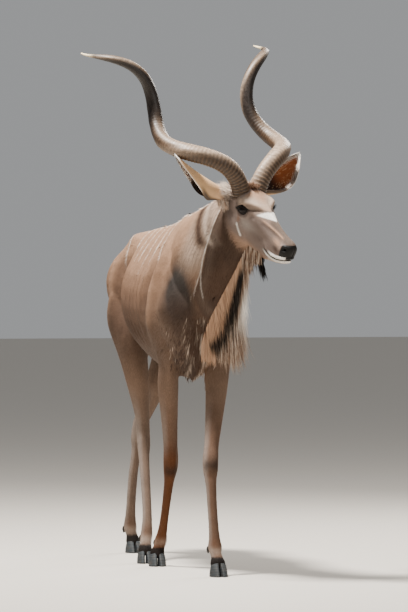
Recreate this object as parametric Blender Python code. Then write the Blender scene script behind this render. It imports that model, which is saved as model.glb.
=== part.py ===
# A greater kudu bull, life size, standing in mid walk with its head turned to its left.
# Metres, Z up. The animal faces -Y, its own left side is +X.
# Stations are written as (forward, ...) and turned into y = -forward where a point is made.
import math
import random

import bmesh
import bpy
import numpy as np
from mathutils import Matrix, Vector
from mathutils.bvhtree import BVHTree

GAP = 0.0003  # space kept between neighbouring pieces

# Torso: forward, back line, belly line, half width, height of the widest point, pinch above, pinch below
TORSO_SIDE = 0.012  # the trunk leans this far to the left of the line between the feet
TORSO = (
    (-0.735, 1.160, 1.060, 0.055, 1.12, 0.00, 0.00),
    (-0.700, 1.235, 0.990, 0.108, 1.12, 0.10, 0.10),
    (-0.620, 1.298, 0.930, 0.146, 1.13, 0.25, 0.10),
    (-0.470, 1.333, 0.890, 0.160, 1.14, 0.35, 0.10),
    (-0.300, 1.350, 0.880, 0.158, 1.11, 0.45, 0.10),
    (-0.140, 1.360, 0.835, 0.174, 1.07, 0.50, 0.10),
    (0.020, 1.368, 0.795, 0.186, 1.04, 0.55, 0.15),
    (0.180, 1.382, 0.770, 0.178, 1.03, 0.60, 0.20),
    (0.300, 1.402, 0.762, 0.164, 1.03, 0.65, 0.30),
    (0.390, 1.412, 0.768, 0.150, 1.03, 0.65, 0.35),
    (0.490, 1.385, 0.795, 0.140, 1.04, 0.50, 0.35),
    (0.570, 1.300, 0.850, 0.118, 1.05, 0.30, 0.30),
    (0.640, 1.170, 0.940, 0.070, 1.05, 0.10, 0.10),
)

# Neck: crest forward and height, throat forward and height, side of the crest and of the throat, half width
NECK = (
    (0.300, 1.395, 0.470, 0.900, 0.012, 0.012, 0.130),
    (0.450, 1.415, 0.630, 0.960, 0.018, 0.020, 0.122),
    (0.580, 1.442, 0.730, 1.045, 0.034, 0.046, 0.101),
    (0.690, 1.470, 0.805, 1.130, 0.060, 0.074, 0.085),
    (0.780, 1.496, 0.868, 1.200, 0.086, 0.098, 0.074),
    (0.845, 1.512, 0.918, 1.265, 0.106, 0.116, 0.066),
    (0.905, 1.508, 0.960, 1.330, 0.120, 0.128, 0.054),
)

# Head frame: origin midway between the horn bases
HEAD_ORIGIN = (0.930, 0.126, 1.513)  # forward, side, height
HEAD_YAW = math.radians(26)
HEAD_PITCH = math.radians(36.5)
HEAD_ROLL = math.radians(2.9)

# Head: along the nose line, top, bottom, half width, height of the widest point, pinch above, pinch below
HEAD = (
    (-0.095, -0.045, -0.125, 0.048, -0.075, 0.10, 0.10),
    (-0.050, -0.008, -0.150, 0.060, -0.060, 0.20, 0.25),
    (0.000, 0.010, -0.168, 0.067, -0.045, 0.20, 0.45),
    (0.045, 0.013, -0.182, 0.074, -0.030, 0.10, 0.55),
    (0.085, 0.010, -0.188, 0.075, -0.032, 0.20, 0.60),
    (0.125, 0.005, -0.188, 0.059, -0.045, 0.40, 0.55),
    (0.175, -0.003, -0.181, 0.043, -0.054, 0.50, 0.45),
    (0.220, -0.009, -0.165, 0.034, -0.060, 0.50, 0.40),
    (0.262, -0.014, -0.146, 0.029, -0.062, 0.45, 0.30),
    (0.295, -0.015, -0.127, 0.029, -0.060, 0.30, 0.20),
    (0.320, -0.014, -0.111, 0.029, -0.054, 0.20, 0.15),
    (0.338, -0.016, -0.100, 0.026, -0.050, 0.10, 0.05),
    (0.349, -0.024, -0.089, 0.019, -0.050, 0.00, 0.00),
    (0.354, -0.038, -0.074, 0.010, -0.054, 0.00, 0.00),
)
EYE = (0.083, 0.064, -0.034)  # along the nose, to the side, below the nose line
EYE_RADIUS = 0.0195

# Horn: an open spiral, fitted by eye to both horns at once
HORN_SPREAD = 0.093  # between the two base centres
HORN_CHORD = 0.800
HORN_RISE = math.radians(51.8)  # above the level, leaning back
HORN_SPLAY = math.radians(18.8)
HORN_TURNS = 1.6
HORN_PHASE = math.radians(88)
HORN_COIL = (0.068, 0.026, 0.073)  # coil radius at the base, as a middle pull, and at the tip
HORN_BOW = 0.051
HORN_THICK = (0.034, 0.033, 0.030, 0.027, 0.023, 0.016, 0.0025)  # radius in equal steps to the tip
HORN_KEEL = 0.16

# Legs: forward, side, height, half width, reach in front, reach behind, from shoulder or hip to inside the hoof
FORELEG_LEFT = (
    (0.330, 0.070, 1.240, 0.020, 0.040, 0.040),
    (0.375, 0.090, 1.100, 0.056, 0.100, 0.110),
    (0.420, 0.102, 0.940, 0.066, 0.105, 0.120),
    (0.435, 0.104, 0.830, 0.056, 0.075, 0.092),
    (0.455, 0.100, 0.740, 0.046, 0.053, 0.062),
    (0.505, 0.079, 0.620, 0.037, 0.040, 0.044),
    (0.560, 0.057, 0.510, 0.030, 0.030, 0.032),
    (0.590, 0.046, 0.455, 0.0300, 0.031, 0.031),
    (0.607, 0.042, 0.410, 0.0285, 0.029, 0.030),
    (0.620, 0.041, 0.360, 0.0205, 0.020, 0.025),
    (0.643, 0.043, 0.240, 0.0180, 0.018, 0.024),
    (0.660, 0.046, 0.150, 0.0205, 0.020, 0.027),
    (0.668, 0.047, 0.115, 0.0265, 0.022, 0.030),
    (0.692, 0.049, 0.078, 0.0240, 0.020, 0.025),
    (0.708, 0.050, 0.050, 0.0280, 0.024, 0.030),
    (0.716, 0.050, 0.026, 0.0200, 0.020, 0.022),
)
FORELEG_RIGHT = (
    (0.310, -0.058, 1.240, 0.020, 0.040, 0.040),
    (0.345, -0.080, 1.100, 0.056, 0.100, 0.110),
    (0.350, -0.090, 0.940, 0.066, 0.105, 0.120),
    (0.320, -0.080, 0.830, 0.056, 0.075, 0.092),
    (0.285, -0.063, 0.740, 0.046, 0.053, 0.062),
    (0.240, -0.046, 0.620, 0.036, 0.040, 0.044),
    (0.192, -0.031, 0.500, 0.030, 0.030, 0.032),
    (0.172, -0.025, 0.440, 0.0315, 0.031, 0.031),
    (0.155, -0.023, 0.395, 0.0295, 0.029, 0.030),
    (0.128, -0.024, 0.340, 0.0215, 0.020, 0.025),
    (0.072, -0.027, 0.225, 0.0185, 0.018, 0.024),
    (0.026, -0.029, 0.140, 0.0205, 0.020, 0.027),
    (0.008, -0.031, 0.105, 0.0265, 0.022, 0.030),
    (0.002, -0.037, 0.078, 0.0245, 0.020, 0.025),
    (0.000, -0.042, 0.050, 0.0285, 0.024, 0.030),
    (0.002, -0.044, 0.026, 0.0200, 0.020, 0.022),
)
HINDLEG_LEFT = (
    (-0.500, 0.060, 1.220, 0.030, 0.060, 0.060),
    (-0.490, 0.082, 1.110, 0.070, 0.120, 0.120),
    (-0.470, 0.098, 1.000, 0.076, 0.140, 0.130),
    (-0.475, 0.102, 0.900, 0.068, 0.120, 0.115),
    (-0.510, 0.090, 0.800, 0.056, 0.092, 0.095),
    (-0.570, 0.064, 0.700, 0.044, 0.064, 0.072),
    (-0.650, 0.045, 0.610, 0.033, 0.046, 0.052),
    (-0.742, 0.038, 0.545, 0.0285, 0.038, 0.048),
    (-0.792, 0.036, 0.490, 0.0285, 0.038, 0.036),
    (-0.815, 0.034, 0.430, 0.0215, 0.027, 0.026),
    (-0.850, 0.028, 0.320, 0.0185, 0.020, 0.024),
    (-0.885, 0.027, 0.210, 0.0180, 0.019, 0.024),
    (-0.914, 0.030, 0.145, 0.0205, 0.020, 0.026),
    (-0.926, 0.032, 0.110, 0.0260, 0.022, 0.030),
    (-0.926, 0.038, 0.078, 0.0245, 0.020, 0.025),
    (-0.924, 0.042, 0.050, 0.0280, 0.024, 0.029),
    (-0.922, 0.044, 0.026, 0.0200, 0.020, 0.022),
)
HINDLEG_RIGHT = (
    (-0.480, -0.040, 1.220, 0.030, 0.060, 0.060),
    (-0.450, -0.066, 1.110, 0.070, 0.120, 0.110),
    (-0.410, -0.084, 1.000, 0.076, 0.140, 0.110),
    (-0.375, -0.078, 0.900, 0.068, 0.120, 0.090),
    (-0.365, -0.062, 0.800, 0.056, 0.088, 0.085),
    (-0.385, -0.042, 0.700, 0.044, 0.064, 0.072),
    (-0.412, -0.022, 0.590, 0.031, 0.042, 0.050),
    (-0.430, -0.014, 0.520, 0.0285, 0.036, 0.046),
    (-0.424, -0.0135, 0.470, 0.0285, 0.036, 0.034),
    (-0.398, -0.0135, 0.410, 0.0220, 0.026, 0.026),
    (-0.344, -0.016, 0.300, 0.0185, 0.020, 0.024),
    (-0.288, -0.022, 0.195, 0.0180, 0.019, 0.024),
    (-0.258, -0.032, 0.140, 0.0205, 0.020, 0.026),
    (-0.246, -0.038, 0.110, 0.0260, 0.022, 0.030),
    (-0.222, -0.046, 0.078, 0.0245, 0.020, 0.025),
    (-0.204, -0.051, 0.050, 0.0280, 0.024, 0.029),
    (-0.196, -0.053, 0.026, 0.0200, 0.020, 0.022),
)
LEGS = {
    "foreleg_left": FORELEG_LEFT,
    "foreleg_right": FORELEG_RIGHT,
    "hindleg_left": HINDLEG_LEFT,
    "hindleg_right": HINDLEG_RIGHT,
}
SHEATH = (-0.330, 0.012, 0.868)  # the fold of skin under the belly: forward, side, height
LEG_JOINT = {  # forward, side, height of the knee or hock, where the leg is parted
    "foreleg_left": (0.600, 0.044, 0.430),
    "foreleg_right": (0.165, -0.024, 0.420),
    "hindleg_left": (-0.790, 0.036, 0.495),
    "hindleg_right": (-0.428, -0.014, 0.490),
}
HOOVES = {  # forward, side of the sole's middle, turn of the toe outward in degrees, size
    "foreleg_left": (0.722, 0.050, 4, 1.06),
    "foreleg_right": (0.006, -0.045, -4, 1.06),
    "hindleg_left": (-0.918, 0.045, 6, 1.02),
    "hindleg_right": (-0.192, -0.054, -6, 1.02),
}
HOOF_LENGTH = 0.086
HOOF_WIDTH = 0.034  # of one claw
HOOF_HEIGHT = 0.050

EARS = {  # root ahead, to the side, up; tip from the root; where the cup opens; how far the leaf bows out
    "ear_left": ((-0.085, 0.066, -0.026), (-0.02, 0.292, 0.150), (0.75, -0.30, 0.10), (0.00, 0.024, -0.020)),
    "ear_right": ((-0.085, -0.066, -0.026), (-0.02, -0.230, 0.150), (-0.30, -0.25, -0.80), (0.0, -0.003, -0.008)),
}
EAR_SHAPE = (  # share of the length, half width of the leaf, half angle of the cup in degrees
    (0.00, 0.024, 165),
    (0.12, 0.030, 150),
    (0.26, 0.044, 120),
    (0.42, 0.052, 88),
    (0.58, 0.050, 70),
    (0.74, 0.040, 60),
    (0.88, 0.023, 55),
    (0.97, 0.008, 50),
)
EAR_THICK = 0.0036

TAIL = (  # forward, side, height, half width, reach in front, reach behind
    (-0.690, 0.012, 1.215, 0.026, 0.022, 0.022),
    (-0.745, 0.012, 1.200, 0.025, 0.022, 0.022),
    (-0.785, 0.012, 1.150, 0.024, 0.018, 0.018),
    (-0.800, 0.013, 1.060, 0.026, 0.015, 0.015),
    (-0.802, 0.014, 0.960, 0.028, 0.014, 0.014),
    (-0.798, 0.015, 0.870, 0.024, 0.013, 0.013),
    (-0.792, 0.016, 0.800, 0.012, 0.008, 0.008),
)


def to_world(forward, side, height):
    return Vector((side, -forward, height))


def head_axes():
    """Along the nose, to the left, and out of the forehead, as world directions."""
    ahead = Vector((math.sin(HEAD_YAW), -math.cos(HEAD_YAW), 0))
    level_left = Vector((math.cos(HEAD_YAW), math.sin(HEAD_YAW), 0))
    up = Vector((0, 0, 1))
    left = level_left * math.cos(HEAD_ROLL) + up * math.sin(HEAD_ROLL)
    crown = up * math.cos(HEAD_ROLL) - level_left * math.sin(HEAD_ROLL)
    nose = ahead * math.cos(HEAD_PITCH) - crown * math.sin(HEAD_PITCH)
    out = ahead * math.sin(HEAD_PITCH) + crown * math.cos(HEAD_PITCH)
    return ahead, left, crown, nose, out


AHEAD, LEFT, CROWN, NOSE, OUT = head_axes()
HEAD_AT = to_world(*HEAD_ORIGIN)


def on_head(along, side, out):
    """A point in head coordinates: along the nose line, to the left, and out of the forehead."""
    return HEAD_AT + NOSE * along + LEFT * side + OUT * out


def eased(rows, count):
    """Catmull-Rom through rows of numbers, count values in all."""
    rows = np.array(rows, float)
    last = len(rows) - 1
    result = []
    for value in np.linspace(0, last, count):
        i = min(int(value), last - 1)
        t = value - i
        a, b, c, d = (rows[max(0, min(last, k))] for k in (i - 1, i, i + 1, i + 2))
        result.append(
            0.5 * (2 * b + (c - a) * t + (2 * a - 5 * b + 4 * c - d) * t * t + (3 * b - a - 3 * c + d) * t**3)
        )
    return np.array(result)


def add_object(name, mesh):
    obj = bpy.data.objects.new(name, mesh)
    bpy.context.scene.collection.objects.link(obj)
    return obj


def loft(name, rings, band=False):
    """A closed skin over rings of points. Ends are fans, or strips where each ring is a band folded on itself."""
    bm = bmesh.new()
    loops = [[bm.verts.new(p) for p in ring] for ring in rings]
    sides = len(loops[0])
    for low, high in zip(loops, loops[1:]):
        for i in range(sides):
            j = (i + 1) % sides
            bm.faces.new((low[i], low[j], high[j], high[i]))
    for loop in (loops[0], loops[-1]):
        if band:
            for i in range(sides // 2 - 1):
                bm.faces.new((loop[i], loop[i + 1], loop[sides - 2 - i], loop[sides - 1 - i]))
            continue
        middle = bm.verts.new(sum((v.co for v in loop), Vector()) / sides)
        for i in range(sides):
            bm.faces.new((loop[i], loop[(i + 1) % sides], middle))
    bmesh.ops.recalc_face_normals(bm, faces=bm.faces)
    mesh = bpy.data.meshes.new(name)
    bm.to_mesh(mesh)
    bm.free()
    return add_object(name, mesh)


def section(middle, side_axis, up_axis, half, above, below, pinch_above=0.0, pinch_below=0.0, sides=24):
    """An egg-shaped ring: half wide, reaching above and below the middle, narrowed by the pinches."""
    ring = []
    for i in range(sides):
        angle = 2 * math.pi * i / sides
        across, upright = math.sin(angle), math.cos(angle)
        pinch, reach = (pinch_above, above) if upright > 0 else (pinch_below, below)
        width = half * across * (1 - pinch * upright * upright)
        ring.append(middle + side_axis * width + up_axis * reach * upright)
    return ring


def torso():
    rings = []
    for forward, top, bottom, half, widest, above, below in eased(TORSO, 40):
        middle = to_world(forward, TORSO_SIDE, widest)
        across, up = Vector((1, 0, 0)), Vector((0, 0, 1))
        rings.append(section(middle, across, up, half, top - widest, widest - bottom, above, below))
    return loft("torso_form", rings)


def neck():
    rings = []
    rows = eased(NECK, 24)
    for i, (top_f, top_z, low_f, low_z, top_side, low_side, half) in enumerate(rows):
        top, low = to_world(top_f, top_side, top_z), to_world(low_f, low_side, low_z)
        j, k = max(0, i - 1), min(len(rows) - 1, i + 1)
        after, before = rows[k], rows[j]
        run = to_world(after[0] + after[2], after[4] + after[5], 0)
        run -= to_world(before[0] + before[2], before[4] + before[5], 0)
        across = Vector((0, 0, 1)).cross(run).normalized()
        up = (top - low).normalized()
        middle = low.lerp(top, 0.52)
        above, below = (top - middle).length, (middle - low).length
        rings.append(section(middle, across, up, half, above, below, 0.3, 0.2))
    return loft("neck_form", rings)


def skull():
    rings = []
    for along, top, bottom, half, widest, above, below in eased(HEAD, 34):
        middle = on_head(along, 0, widest)
        rings.append(section(middle, LEFT, OUT, half, top - widest, widest - bottom, above, below))
    return loft("skull_form", rings)


def limb(name, rows, count, sides=20):
    """A round-sectioned limb whose rings stand square to its own line."""
    rings = []
    rows = eased(rows, count)
    for i, (forward, side, height, half, front, back) in enumerate(rows):
        j, k = max(0, i - 1), min(len(rows) - 1, i + 1)
        run = to_world(*rows[k][:3]) - to_world(*rows[j][:3])
        across = Vector((1, 0, 0))
        ahead = run.cross(across).normalized()
        if ahead.y > 0:
            ahead = -ahead
        across = ahead.cross(run).normalized()
        if across.x < 0:
            across = -across
        rings.append(section(to_world(forward, side, height), across, ahead, half, front, back, 0.15, 0.15, sides))
    return loft(name, rings)


def claw(name, side_sign, turn, size, forward, side):
    """One half of a cloven hoof: flat sole, pointed toe, rounded heel."""
    rings = []
    slope = 0.62
    levels = ((0.0, 0.95), (0.06, 1.0), (0.50, 0.95), (1.0, 0.82))
    outward = math.radians(turn)
    ahead = Vector((math.sin(outward), -math.cos(outward), 0))
    across = Vector((math.cos(outward), math.sin(outward), 0))
    middle = to_world(forward, side, 0)
    for level, share in levels:
        ring = []
        for i in range(12):
            angle = 2 * math.pi * i / 12
            fore, wide = math.cos(angle), math.sin(angle)
            reach = HOOF_LENGTH * (0.56 if fore > 0 else 0.44) * share * size
            top = HOOF_HEIGHT * size * (0.80 + 0.20 * fore)
            height = top * level
            toe = 1 - 0.55 * max(0.0, fore) ** 2
            spread = HOOF_WIDTH * 0.5 * share * size * wide * toe
            inner = 1.0 if wide * side_sign > 0 else 0.72
            ahead_by = reach * fore - slope * height * (0.5 + 0.5 * fore) + (0.12 * height if fore < 0 else 0)
            off = side_sign * (HOOF_WIDTH * 0.40 * size + 0.0012 + 0.006 * max(0.0, fore) * (1 - level))
            point = middle + ahead * ahead_by + across * (off + spread * inner)
            point.z = height
            ring.append(point)
        rings.append(ring)
    return loft(name, rings)


def horn_point(t, sign):
    """Centre line of a horn, from the brow to the tip."""
    rise = Vector((-math.cos(HORN_RISE), 0, math.sin(HORN_RISE)))
    axis = Vector((rise.x * math.cos(HORN_SPLAY), math.sin(HORN_SPLAY), rise.z * math.cos(HORN_SPLAY)))
    first = axis.cross(Vector((0, 1, 0))).normalized()
    second = axis.cross(first)

    def coil(u):
        base, pull, tip = HORN_COIL
        radius = base * (1 - u) ** 2 + 2 * pull * u * (1 - u) + tip * u * u
        angle = HORN_PHASE + 2 * math.pi * HORN_TURNS * u
        return (first * math.cos(angle) + second * math.sin(angle)) * radius

    radial = coil(t)
    point = axis * (HORN_CHORD * t) + radial - coil(0)
    point.y += HORN_BOW * t * (1 - t) + HORN_SPREAD / 2
    to_frame = lambda v: AHEAD * v.x + LEFT * (v.y * sign) + CROWN * v.z
    return HEAD_AT + to_frame(point), to_frame(radial)


def horn(name, sign, rings_count=38, sides=10):
    rings = []
    thick = eased([(v,) for v in HORN_THICK], 61)[:, 0]
    for i in range(rings_count):
        t = -0.035 + 1.035 * i / (rings_count - 1)
        here, radial = horn_point(t, sign)
        run = horn_point(t + 0.004, sign)[0] - horn_point(t - 0.004, sign)[0]
        run.normalize()
        outward = (radial - run * radial.dot(run)).normalized()
        across = run.cross(outward)
        radius = float(np.interp(max(t, 0), np.linspace(0, 1, 61), thick))
        ring = []
        for k in range(sides):
            angle = 2 * math.pi * k / sides
            keel = 1 + HORN_KEEL * max(0.0, math.cos(angle)) ** 6 - 0.05 * math.cos(2 * angle)
            ring.append(here + (outward * math.cos(angle) + across * math.sin(angle) * sign) * radius * keel)
        rings.append(ring)
    return loft(name, rings)


def ear(name, sides=9, count=12):
    """A leaf-shaped cup, closed to a tube at its root and open toward its own side."""
    frame = Matrix((AHEAD, LEFT, CROWN)).transposed()
    root, tip, mouth, belly = (frame @ Vector(v) for v in EARS[name])
    root += HEAD_AT
    length = tip.length
    run = tip.normalized()
    mouth = (mouth - run * mouth.dot(run)).normalized()
    across = run.cross(mouth)
    rings = []
    for share, half, cup in eased(EAR_SHAPE, count):
        half = max(half, 0.004)
        cup = math.radians(cup)
        radius = half / math.sin(min(cup, math.pi / 2))
        bow = belly * math.sin(math.pi * share)
        middle = root + run * (length * share) + mouth * (radius - 0.022) + bow
        thick = EAR_THICK * (1.5 - 0.7 * share)
        outer, inner = [], []
        for k in range(sides):
            angle = cup * (2 * k / (sides - 1) - 1)
            edge = abs(2 * k / (sides - 1) - 1) ** 3
            spoke = across * math.sin(angle) - mouth * math.cos(angle)
            outer.append(middle + spoke * radius)
            inner.append(middle + spoke * (radius - thick * (1 - 0.4 * edge)))
        rings.append(outer + inner[::-1])
    return loft(name, rings, band=True)


def ball(name, centre, radius, segments=14, rings=8):
    bm = bmesh.new()
    bmesh.ops.create_uvsphere(bm, u_segments=segments, v_segments=rings, radius=radius)
    bmesh.ops.translate(bm, verts=bm.verts, vec=centre)
    mesh = bpy.data.meshes.new(name)
    bm.to_mesh(mesh)
    bm.free()
    return add_object(name, mesh)


def applied(obj):
    """Put the object's modifiers into its mesh."""
    graph = bpy.context.evaluated_depsgraph_get()
    mesh = bpy.data.meshes.new_from_object(obj.evaluated_get(graph))
    obj.modifiers.clear()
    old = obj.data
    obj.data = mesh
    bpy.data.meshes.remove(old)
    return obj


def remove(objects):
    for obj in objects:
        mesh = obj.data
        bpy.data.objects.remove(obj)
        bpy.data.meshes.remove(mesh)


def joined(name, objects):
    """All meshes in one object, the sources removed."""
    bm = bmesh.new()
    for obj in objects:
        bm.from_mesh(obj.data)
    mesh = bpy.data.meshes.new(name)
    bm.to_mesh(mesh)
    bm.free()
    remove(objects)
    return add_object(name, mesh)


def swollen(obj, amount):
    """A copy grown along its normals, used as a cutter."""
    mesh = obj.data.copy()
    bm = bmesh.new()
    bm.from_mesh(mesh)
    bm.normal_update()
    moves = [v.normal * amount * 1.15 for v in bm.verts]
    for vert, move in zip(bm.verts, moves):
        vert.co += move
    bm.to_mesh(mesh)
    bm.free()
    copy = add_object(obj.name + "_cutter", mesh)
    copy.hide_render = True
    copy.display_type = "WIRE"
    return copy


def open_edges(mesh):
    bm = bmesh.new()
    bm.from_mesh(mesh)
    count = sum(len(edge.link_faces) != 2 for edge in bm.edges)
    bm.free()
    return count


def boolean(obj, operation, others):
    """One Boolean with a group of closed cutters, then applied."""
    group = bpy.data.collections.new(obj.name + "_operands")
    bpy.context.scene.collection.children.link(group)
    for other in others:
        group.objects.link(other)
    for solver in ("EXACT", "MANIFOLD"):
        modifier = obj.modifiers.new(operation.title(), "BOOLEAN")
        modifier.operation = operation
        modifier.solver = solver
        modifier.operand_type = "COLLECTION"
        modifier.collection = group
        before = obj.data
        obj.data = before.copy()
        applied(obj)
        if len(obj.data.polygons) > 50 and open_edges(obj.data) == 0:
            bpy.data.meshes.remove(before)
            break
        print("another solver for", obj.name, len(obj.data.polygons), open_edges(obj.data))
        empty = obj.data
        obj.data = before
        bpy.data.meshes.remove(empty)
    bpy.data.collections.remove(group)
    remove(others)
    return obj


def islands(mesh):
    """The closed surfaces of a mesh, largest first."""
    bm = bmesh.new()
    bm.from_mesh(mesh)
    seen, groups = set(), []
    for start in bm.faces:
        if start in seen:
            continue
        group, waiting = [], [start]
        seen.add(start)
        while waiting:
            face = waiting.pop()
            group.append(face)
            for edge in face.edges:
                for other in edge.link_faces:
                    if other not in seen:
                        seen.add(other)
                        waiting.append(other)
        groups.append(group)
    results = []
    for group in sorted(groups, key=len, reverse=True):
        piece = bmesh.new()
        made = {}
        for face in group:
            corners = []
            for vert in face.verts:
                if vert not in made:
                    made[vert] = piece.verts.new(vert.co)
                corners.append(made[vert])
            piece.faces.new(corners)
        results.append(piece)
    bm.free()
    return results


def keep_largest(obj):
    pieces = islands(obj.data)
    pieces[0].to_mesh(obj.data)
    for piece in pieces:
        piece.free()
    return obj


def slab(name, centre, normal, width, depth, up=None):
    """A thin box, one gap thick, square to the normal."""
    bm = bmesh.new()
    bmesh.ops.create_cube(bm, size=1)
    normal = Vector(normal).normalized()
    across = (Vector(up) if up else Vector((1, 0, 0))).cross(normal).normalized()
    other = normal.cross(across)
    turn = Matrix((across * width, other * depth, normal * GAP)).transposed()
    for vert in bm.verts:
        vert.co = turn @ vert.co + centre
    mesh = bpy.data.meshes.new(name)
    bm.to_mesh(mesh)
    bm.free()
    cutter = add_object(name, mesh)
    cutter.hide_render = True
    cutter.display_type = "WIRE"
    return cutter


def fused(name, forms, voxel, passes, triangles, calm_below=None):
    """Forms melted into one closed skin, evened out and thinned to the wanted number of triangles."""
    body = joined(name, forms)
    remesh = body.modifiers.new("Remesh", "REMESH")
    remesh.mode = "VOXEL"
    remesh.voxel_size = voxel
    remesh.adaptivity = 0
    applied(body)
    bm = bmesh.new()
    bm.from_mesh(body.data)
    for _ in range(passes):
        verts = [v for v in bm.verts if calm_below is None or v.co.z > calm_below]
        bmesh.ops.smooth_vert(bm, verts=verts, factor=0.5, use_axis_x=True, use_axis_y=True, use_axis_z=True)
    bm.to_mesh(body.data)
    bm.free()
    if triangles:
        thin(body, triangles)
    return body


def thin(obj, triangles):
    obj.data.calc_loop_triangles()
    decimate = obj.modifiers.new("Decimate", "DECIMATE")
    decimate.ratio = min(1.0, triangles / len(obj.data.loop_triangles))
    decimate.use_collapse_triangulate = True
    return applied(obj)


def finish(obj, material, smooth=True):
    obj.data.materials.clear()
    obj.data.materials.append(material)
    for polygon in obj.data.polygons:
        polygon.use_smooth = smooth
    return obj


def finish_material(name, colour, roughness, metallic=0.0):
    material = bpy.data.materials.new(name)
    material.use_nodes = True
    shader = material.node_tree.nodes["Principled BSDF"]
    shader.inputs["Base Color"].default_value = (*colour, 1)
    shader.inputs["Roughness"].default_value = roughness
    shader.inputs["Metallic"].default_value = metallic
    material.diffuse_color = (*colour, 1)
    return material

HEAD_CUT = (to_world(0.868, 0.112, 1.38), to_world(0.62, 0.16, 0.30).normalized())
NECK_CUT = (to_world(0.505, 0.02, 1.17), to_world(0.80, 0.06, 0.52).normalized())


def bump(value, middle, spread):
    return math.exp(-(((value - middle) / spread) ** 2))


def carve_head(head):
    """Mouth line, nostrils, lids and the planes of the face, pressed into the skin."""
    bm = bmesh.new()
    bm.from_mesh(head.data)
    bm.normal_update()
    moves = []
    for vert in bm.verts:
        at = vert.co - HEAD_AT
        along, side, out = at.dot(NOSE), abs(at.dot(LEFT)), at.dot(OUT)
        shift = 0.0
        if along > -0.04:
            line = -0.104 + 0.27 * (along - 0.24)
            fade = max(0.0, min(1.0, (along - 0.228) / 0.02))
            shift -= 0.0045 * fade * bump(out, line, 0.0032)
            shift += 0.0020 * fade * bump(out, line + 0.010, 0.006)
            shift += 0.0018 * fade * bump(out, line - 0.010, 0.006)
            if side > 0.008:
                shift -= 0.0090 * bump(along, 0.336, 0.010) * bump(out, -0.041, 0.0055)
                shift += 0.0030 * bump(along, 0.318, 0.012) * bump(out, -0.030, 0.010)
            ring = math.hypot(along - EYE[0], (out - EYE[2]) * 1.15)
            if side > 0.03:
                shift += 0.0055 * bump(ring, 0.021, 0.0050)
                shift += 0.0090 * bump(along, 0.070, 0.024) * bump(out, -0.012, 0.011)
                shift -= 0.0050 * bump(along, 0.140, 0.016) * bump(out, -0.050, 0.014)
            shift += 0.0060 * bump(along, 0.070, 0.045) * bump(out, -0.115, 0.030)
            shift -= 0.0040 * bump(along, 0.190, 0.030) * bump(out, -0.085, 0.020)
        moves.append(vert.normal * shift)
    for vert, move in zip(bm.verts, moves):
        vert.co += move
    bm.to_mesh(head.data)
    bm.free()


FRINGE = (  # forward, side, height on the throat line; lock length; lean forward, to the left; spread to each side
    (0.985, 0.150, 1.262, 0.060, 0.06, -0.05, 0.012),
    (0.930, 0.128, 1.290, 0.090, 0.18, 0.00, 0.018),
    (0.895, 0.108, 1.235, 0.150, 0.22, 0.02, 0.022),
    (0.850, 0.092, 1.180, 0.220, 0.26, 0.10, 0.026),
    (0.805, 0.075, 1.125, 0.285, 0.32, 0.18, 0.030),
    (0.760, 0.058, 1.075, 0.310, 0.36, 0.22, 0.034),
    (0.705, 0.040, 1.015, 0.265, 0.32, 0.20, 0.038),
    (0.655, 0.026, 0.950, 0.190, 0.20, 0.10, 0.044),
    (0.610, 0.016, 0.870, 0.100, 0.04, 0.02, 0.042),
    (0.540, 0.012, 0.805, 0.050, -0.15, 0.00, 0.034),
    (0.440, 0.012, 0.780, 0.022, -0.35, 0.00, 0.026),
)
FRINGE_ROWS = 21
FRINGE_ACROSS = 3
CREST = (  # forward, side, height on the crest; lock length; lean back
    (0.895, 0.118, 1.510, 0.036, 0.90),
    (0.780, 0.086, 1.496, 0.050, 0.95),
    (0.640, 0.048, 1.460, 0.058, 1.05),
    (0.500, 0.026, 1.425, 0.062, 1.20),
    (0.390, 0.014, 1.412, 0.055, 1.50),
    (0.300, 0.012, 1.402, 0.040, 1.90),
)
CREST_ROWS = 22


CUT_SIDES = {"head": (1, 0), "neck": (-1, 1), "torso": (0, -1)}  # which side of the two parting planes a node is on
LOCK_CLEAR = 0.016  # roots stay this far from a parting plane


def lock(name, root, aim, across, length, width, thick, bend):
    """A flat, tapering, bending lock of hair, closed to a point."""
    aim, across = aim.normalized(), (across - aim * across.dot(aim)).normalized()
    flat = aim.cross(across)
    rings = []
    for share, wide in ((0.0, 0.80), (0.42, 1.0), (0.78, 0.62), (1.0, 0.06)):
        middle = root + aim * (length * share) + bend * (length * share * share)
        w, h = across * (width * wide), flat * (thick * (0.25 + 0.75 * wide))
        rings.append([middle + w, middle + h, middle - w, middle - h])
    bm = bmesh.new()
    loops = [[bm.verts.new(p) for p in ring] for ring in rings]
    for low, high in zip(loops, loops[1:]):
        for i in range(4):
            bm.faces.new((low[i], low[(i + 1) % 4], high[(i + 1) % 4], high[i]))
    bm.faces.new(loops[0])
    bm.faces.new(loops[-1])
    bmesh.ops.recalc_face_normals(bm, faces=bm.faces)
    mesh = bpy.data.meshes.new(name)
    bm.to_mesh(mesh)
    bm.free()
    return add_object(name, mesh)


def surface(obj):
    bm = bmesh.new()
    bm.from_mesh(obj.data)
    tree = BVHTree.FromBMesh(bm)
    bm.free()
    return tree


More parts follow.
